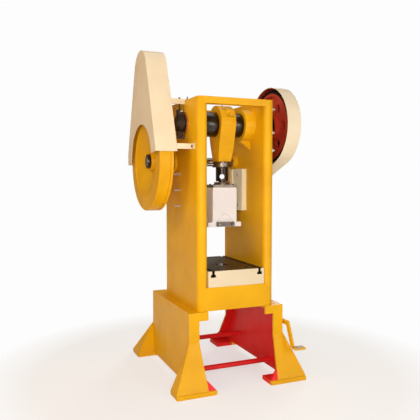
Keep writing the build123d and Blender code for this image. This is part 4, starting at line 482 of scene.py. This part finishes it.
def addCoil(bm, place, direction, radius, wire, pitch, turns, perTurn=16, wireSides=8):
    onEdge = Matrix.Rotation(math.pi / 2, 4, "X")
    made = bmesh.ops.create_circle(bm, cap_ends=False, radius=wire, segments=wireSides,
                                   matrix=Matrix.Translation((radius, 0, 0)) @ onEdge)
    ring = edgesOf(made["verts"])
    steps = int(turns * perTurn)
    before = set(bm.verts) - set(made["verts"])
    out = bmesh.ops.spin(bm, geom=ring, cent=(0, 0, 0), axis=(0, 0, 1), dvec=(0, 0, pitch / perTurn),
                         angle=math.tau * turns, steps=steps, use_merge=False, use_duplicate=False)
    last = [part for part in out["geom_last"] if isinstance(part, bmesh.types.BMEdge)]
    bmesh.ops.holes_fill(bm, edges=ring, sides=wireSides)
    bmesh.ops.holes_fill(bm, edges=last, sides=wireSides)
    bmesh.ops.transform(bm, matrix=turnTo(direction, place),
                        verts=[vert for vert in bm.verts if vert not in before])


def makePiece(name, bm, body, mat, sharp=35):
    bmesh.ops.remove_doubles(bm, verts=bm.verts, dist=0.000005)
    bmesh.ops.recalc_face_normals(bm, faces=bm.faces)
    mesh = bpy.data.meshes.new(name)
    bm.to_mesh(mesh)
    bm.free()
    mesh.shade_smooth()
    mesh.set_sharp_from_angle(angle=math.radians(sharp))
    mesh.materials.append(mat)
    piece = bpy.data.objects.new(name, mesh)
    bpy.context.scene.collection.objects.link(piece)
    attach(piece, body)
    return piece


# wound spring of the brake, in place of the plain sleeve
brakeCoil = {"wire": 0.0014, "turns": 6.5}
low, high = lowOf("brake_spring"), highOf("brake_spring")
coilRadius = (high.x - low.x) / 2 - brakeCoil["wire"]
coilLength = high.y - low.y - 2 * brakeCoil["wire"]
bm = bmesh.new()
addCoil(bm, ((low.x + high.x) / 2, low.y + brakeCoil["wire"], (low.z + high.z) / 2), (0, 1, 0), coilRadius,
        brakeCoil["wire"], coilLength / brakeCoil["turns"], brakeCoil["turns"])
coil = makePiece("brake_coil", bm, "frame", greySteel)
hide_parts("brake_spring")

# upright handle on one ear of the brake band, dark and hand-worn
brakeHandle = {"y": 0.010, "rod": 0.0065, "top": 2.430, "knob": 0.0095, "sunk": 0.001,
               "nutAcross": 0.019, "nutHigh": 0.008}
bm = bmesh.new()
low, high = lowOf("brake_band"), highOf("brake_band")
foot = high.z - brakeHandle["sunk"]
tall = brakeHandle["top"] - foot
rod, knob = brakeHandle["rod"], brakeHandle["knob"]
place = ((low.x + high.x) / 2, (low.y + high.y) / 2 + brakeHandle["y"], foot)
addHex(bm, place, (0, 0, 1), brakeHandle["nutAcross"], brakeHandle["nutHigh"], 0.001)
# the knob, as radius and drop below its top
knobProfile = [(rod, 0.026), (knob * 0.8, 0.021), (knob, 0.014), (knob, 0.006), (knob * 0.7, 0.001), (0, 0)]
addLathe(bm, [(0, 0), (rod, 0)] + [(radius, tall - drop) for radius, drop in knobProfile], place)
makePiece("brake_handle", bm, "frame", bandSteel)

# three plated studs near the front edge of the right column
columnStuds = {"y": -0.352, "heights": (2.335, 2.135, 1.985), "washer": 0.021, "washerThick": 0.003,
               "nutAcross": 0.032, "nutHigh": 0.017, "stud": 0.010, "standOut": 0.036,
               "washerEdge": 0.0006, "nutEdge": 0.0012, "studEdge": 0.0015}
washer, thick, washerEdge = (columnStuds[key] for key in ("washer", "washerThick", "washerEdge"))
stud, out, studEdge = (columnStuds[key] for key in ("stud", "standOut", "studEdge"))
bm = bmesh.new()
for height in columnStuds["heights"]:
    place = Vector((columnSide, columnStuds["y"], height))
    addLathe(bm, [(0, 0), (washer, 0), (washer, thick - washerEdge), (washer - washerEdge, thick),
                  (0, thick)], place, (1, 0, 0))
    addHex(bm, place + Vector((thick, 0, 0)), (1, 0, 0), columnStuds["nutAcross"], columnStuds["nutHigh"],
           columnStuds["nutEdge"])
    addLathe(bm, [(0, 0), (stud, 0), (stud, out - studEdge), (stud - studEdge, out), (0, out)], place,
             (1, 0, 0))
makePiece("column_studs", bm, "frame", zincSteel)

# thread ridges on the bare ends of the guide studs
guideThreads = {"pitch": 0.0025, "ridge": 0.0007, "radius": 0.008, "bareFrom": 0.364, "clear": 0.002}
bm = bmesh.new()
low, high = lowOf("guide_bolts"), highOf("guide_bolts")
rows = (low.z + (high.y - low.y) / 2, (low.z + high.z) / 2, high.z - (high.y - low.y) / 2)
for side in (-1, 1):
    for height in rows:
        turns = (high.x - guideThreads["clear"] - guideThreads["bareFrom"]) / guideThreads["pitch"]
        addCoil(bm, (side * guideThreads["bareFrom"], (low.y + high.y) / 2, height), (side, 0, 0),
                guideThreads["radius"], guideThreads["ridge"], guideThreads["pitch"], turns, 14, 4)
makePiece("guide_threads", bm, "frame", zincSteel, 60)

# grease nipples at the journals
nipple = {"across": 0.011, "hexHigh": 0.005, "tube": 0.0032, "ball": 0.0036, "high": 0.013, "sunk": 0.0005,
          "tubeTop": 0.0085, "neckTop": 0.0095, "ballMiddle": 0.0112, "pastColumn": 0.025, "pedalX": 0.462}
housingMiddle = columnSide + nipple["pastColumn"]
nippleProfile = [(0, 0), (nipple["tube"], 0), (nipple["tube"], nipple["tubeTop"]),
                 (nipple["tube"] * 0.7, nipple["neckTop"]), (nipple["ball"], nipple["ballMiddle"]),
                 (nipple["ball"] * 0.7, nipple["high"]), (0, nipple["high"])]
nipplePlaces = {
    "frame": [(side * housingMiddle, backAxis.y, highOf("shaft_housings").z) for side in (-1, 1)],
    "rod": [(0, crankAxis.y, highOf("rod_cap").z)],
    "pedal": [(nipple["pedalX"], middle("pedal_pivot").y, highOf("pedal_lever").z)],
}
for body, places in nipplePlaces.items():
    bm = bmesh.new()
    for x, y, z in places:
        sunk = (x, y, z - nipple["sunk"])
        addHex(bm, sunk, (0, 0, 1), nipple["across"], nipple["hexHigh"])
        addLathe(bm, nippleProfile, sunk, steps=14)
    makePiece("nipples_" + body, bm, body, brass)

# fillet welds inside the stands, along the web's two sides and its top
weldBead = {"radius": 0.0055, "step": 0.006, "ripple": 0.08, "sunk": 0.0012, "gap": 0.008}
webX = webInner - weldBead["sunk"]
underTopBead = underTop - weldBead["sunk"]
bm = bmesh.new()
for side in (-1, 1):
    runs = [((side * webX, frontInner + weldBead["sunk"], standPlates["frontKnee"]),
             (side * webX, frontInner + weldBead["sunk"], underTop - weldBead["gap"])),
            ((side * webX, rearInner - weldBead["sunk"], standPlates["rearKnee"]),
             (side * webX, rearInner - weldBead["sunk"], underTop - weldBead["gap"])),
            ((side * webX, frontInner + weldBead["gap"], underTopBead),
             (side * webX, rearInner - weldBead["gap"], underTopBead))]
    for start, end in runs:
        addRun(bm, start, end, weldBead["radius"], weldBead["ripple"], weldBead["step"])
makePiece("stand_welds", bm, "frame", enamelRed, 50)

# thinner beads down the outer corners, from each knee to the foot plate
cornerWeld = {"radius": 0.0038, "share": 0.978}
bm = bmesh.new()
for side in (-1, 1):
    for toe, edge, knee in ((standLow.y, frontEdge, standPlates["frontKnee"]),
                            (standHigh.y, rearEdge, standPlates["rearKnee"])):
        footY = toe + (edge - toe) * standPlates["foot"] / knee
        start = Vector((side * webEdge, edge, knee))
        end = start.lerp(Vector((side * standHigh.x, footY, standPlates["foot"])), cornerWeld["share"])
        addRun(bm, start, end, cornerWeld["radius"], weldBead["ripple"], weldBead["step"])
makePiece("corner_welds", bm, "frame", enamelYellow, 50)

# raised ribs on the foot pad
tread = {"count": 5, "pitch": 0.0135, "radius": 0.0022, "inset": 0.009, "firstY": 0.0115,
         "padTop": 0.300, "padInX": 0.455}
bm = bmesh.new()
padLow, padHigh = lowOf("pedal_lever"), highOf("pedal_lever")
for index in range(tread["count"]):
    y = padLow.y + tread["firstY"] + index * tread["pitch"]
    addRun(bm, (tread["padInX"] + tread["inset"], y, tread["padTop"]),
           (padHigh.x - tread["inset"], y, tread["padTop"]), tread["radius"], segments=12)
makePiece("pedal_tread", bm, "pedal", wornRib, 50)

# bolt heads that hold the washers of the two lever pivots
pivotHeads = {"across": 0.019, "high": 0.0065, "sunk": 0.0005, "edge": 0.001}
bm = bmesh.new()
for name in ("pedal_pivot", "trip_pivot"):
    centre = middle(name)
    addHex(bm, (highOf(name).x - pivotHeads["sunk"], centre.y, centre.z), (1, 0, 0), pivotHeads["across"],
           pivotHeads["high"], pivotHeads["edge"])
makePiece("pivot_heads", bm, "frame", oiledSteel)
print("small pieces done")

# floor, backdrop and light: the camera sees the far floor and the backdrop as plain near-white
studioFloor = {"matte": "F7F6F3", "fadeFrom": 0.7, "fadeTo": 2.2, "leastSeen": 0.6, "inGloss": 0.4,
               "radius": 30}
studio = {"soft": 0.27, "softColour": "F6DEC4", "seen": "FDFDFD"}
floorMat, tree, coords = newMaterial("paleStudioFloor")
flat = addNode(tree, "ShaderNodeVectorMath", {0: coords, 1: (1, 1, 0)}, operation="MULTIPLY")
reach = addNode(tree, "ShaderNodeVectorMath", {0: flat}, operation="LENGTH").outputs["Value"]
fade = addNode(tree, "ShaderNodeMapRange", {"Value": reach, "From Min": studioFloor["fadeFrom"],
                                            "From Max": studioFloor["fadeTo"]})
matte = addNode(tree, "ShaderNodeBsdfDiffuse", {"Color": srgb(studioFloor["matte"])})
glow = addNode(tree, "ShaderNodeEmission", {"Color": srgb(studio["seen"]), "Strength": 1.0})
rays = addNode(tree, "ShaderNodeLightPath").outputs
glossy = addNode(tree, "ShaderNodeMath", {0: rays["Is Glossy Ray"], 1: studioFloor["inGloss"]},
                 operation="MULTIPLY")
seenRay = addNode(tree, "ShaderNodeMath", {0: rays["Is Camera Ray"], 1: glossy}, operation="MAXIMUM")
faded = addNode(tree, "ShaderNodeMath", {0: fade, 1: seenRay}, operation="MULTIPLY")
least = addNode(tree, "ShaderNodeMath", {0: rays["Is Camera Ray"], 1: studioFloor["leastSeen"]},
                operation="MULTIPLY")
share = addNode(tree, "ShaderNodeMath", {0: faded, 1: least}, operation="MAXIMUM")
both = addNode(tree, "ShaderNodeMixShader", {0: share, 1: matte, 2: glow})
addNode(tree, "ShaderNodeOutputMaterial", {"Surface": both})
floorMesh = bpy.data.meshes.new("floor")
bm = bmesh.new()
bmesh.ops.create_circle(bm, cap_ends=True, radius=studioFloor["radius"], segments=64)
bm.to_mesh(floorMesh)
bm.free()
floor = bpy.data.objects.new("floor", floorMesh)
bpy.context.scene.collection.objects.link(floor)
floorMesh.materials.append(floorMat)

world = bpy.data.worlds.new("studio")
bpy.context.scene.world = world
world.use_nodes = True
tree = world.node_tree
tree.nodes.clear()
soft = addNode(tree, "ShaderNodeBackground",
               {"Color": srgb(studio["softColour"]), "Strength": studio["soft"]})
seen = addNode(tree, "ShaderNodeBackground", {"Color": srgb(studio["seen"]), "Strength": 1.0})
rays = addNode(tree, "ShaderNodeLightPath").outputs
pick = addNode(tree, "ShaderNodeMixShader", {0: rays["Is Camera Ray"], 1: soft, 2: seen})
addNode(tree, "ShaderNodeOutputWorld", {"Surface": pick})

aim = Vector((0, 0, 1.4))  # every lamp looks at the middle of the press
lamps = {
    "keyLight": {"place": (2.0, -5.6, 2.2), "size": (2.2, 2.6), "power": 66, "colour": "FFFAF4"},
    "frontLight": {"place": (-1.95, -4.45, 2.1), "size": (1.6, 1.8), "power": 126, "colour": "FFF3E6"},
    "fillLight": {"place": (-4.0, -1.3, 4.0), "size": (2.2, 2.2), "power": 64, "colour": "FFD9B8"},
    "topLight": {"place": (0.4, 0.6, 5.6), "size": (3.0, 3.0), "power": 40, "colour": "FFFFFF"},
    "rimLight": {"place": (3.6, 3.6, 3.2), "size": (1.8, 2.4), "power": 102, "colour": "FFFFFF"},
}
for name, lamp in lamps.items():
    data = bpy.data.lights.new(name, "AREA")
    data.shape = "RECTANGLE"
    data.size, data.size_y = lamp["size"]
    data.energy = lamp["power"]
    data.color = srgb(lamp["colour"])[:3]
    light = bpy.data.objects.new(name, data)
    light.location = lamp["place"]
    light.rotation_euler = (aim - Vector(lamp["place"])).to_track_quat("-Z", "Y").to_euler()
    light.visible_camera = False
    bpy.context.scene.collection.objects.link(light)

# camera matched to the photograph: place in metres, pitch and turn in radians, lens in pixels
view = {"place": (-1.9417, -4.4279, 1.7279), "down": 0.0562, "turn": -0.3998, "focal": 534.2, "frame": 420}
camData = bpy.data.cameras.new("photoCamera")
camData.sensor_width = 36
camData.lens = view["focal"] / view["frame"] * camData.sensor_width
camera = bpy.data.objects.new("photoCamera", camData)
camera.location = view["place"]
camera.rotation_euler = (math.pi / 2 - view["down"], 0.0, view["turn"])
bpy.context.scene.collection.objects.link(camera)
bpy.context.scene.camera = camera
bpy.context.scene.view_settings.view_transform = "Standard"
print("stage done")
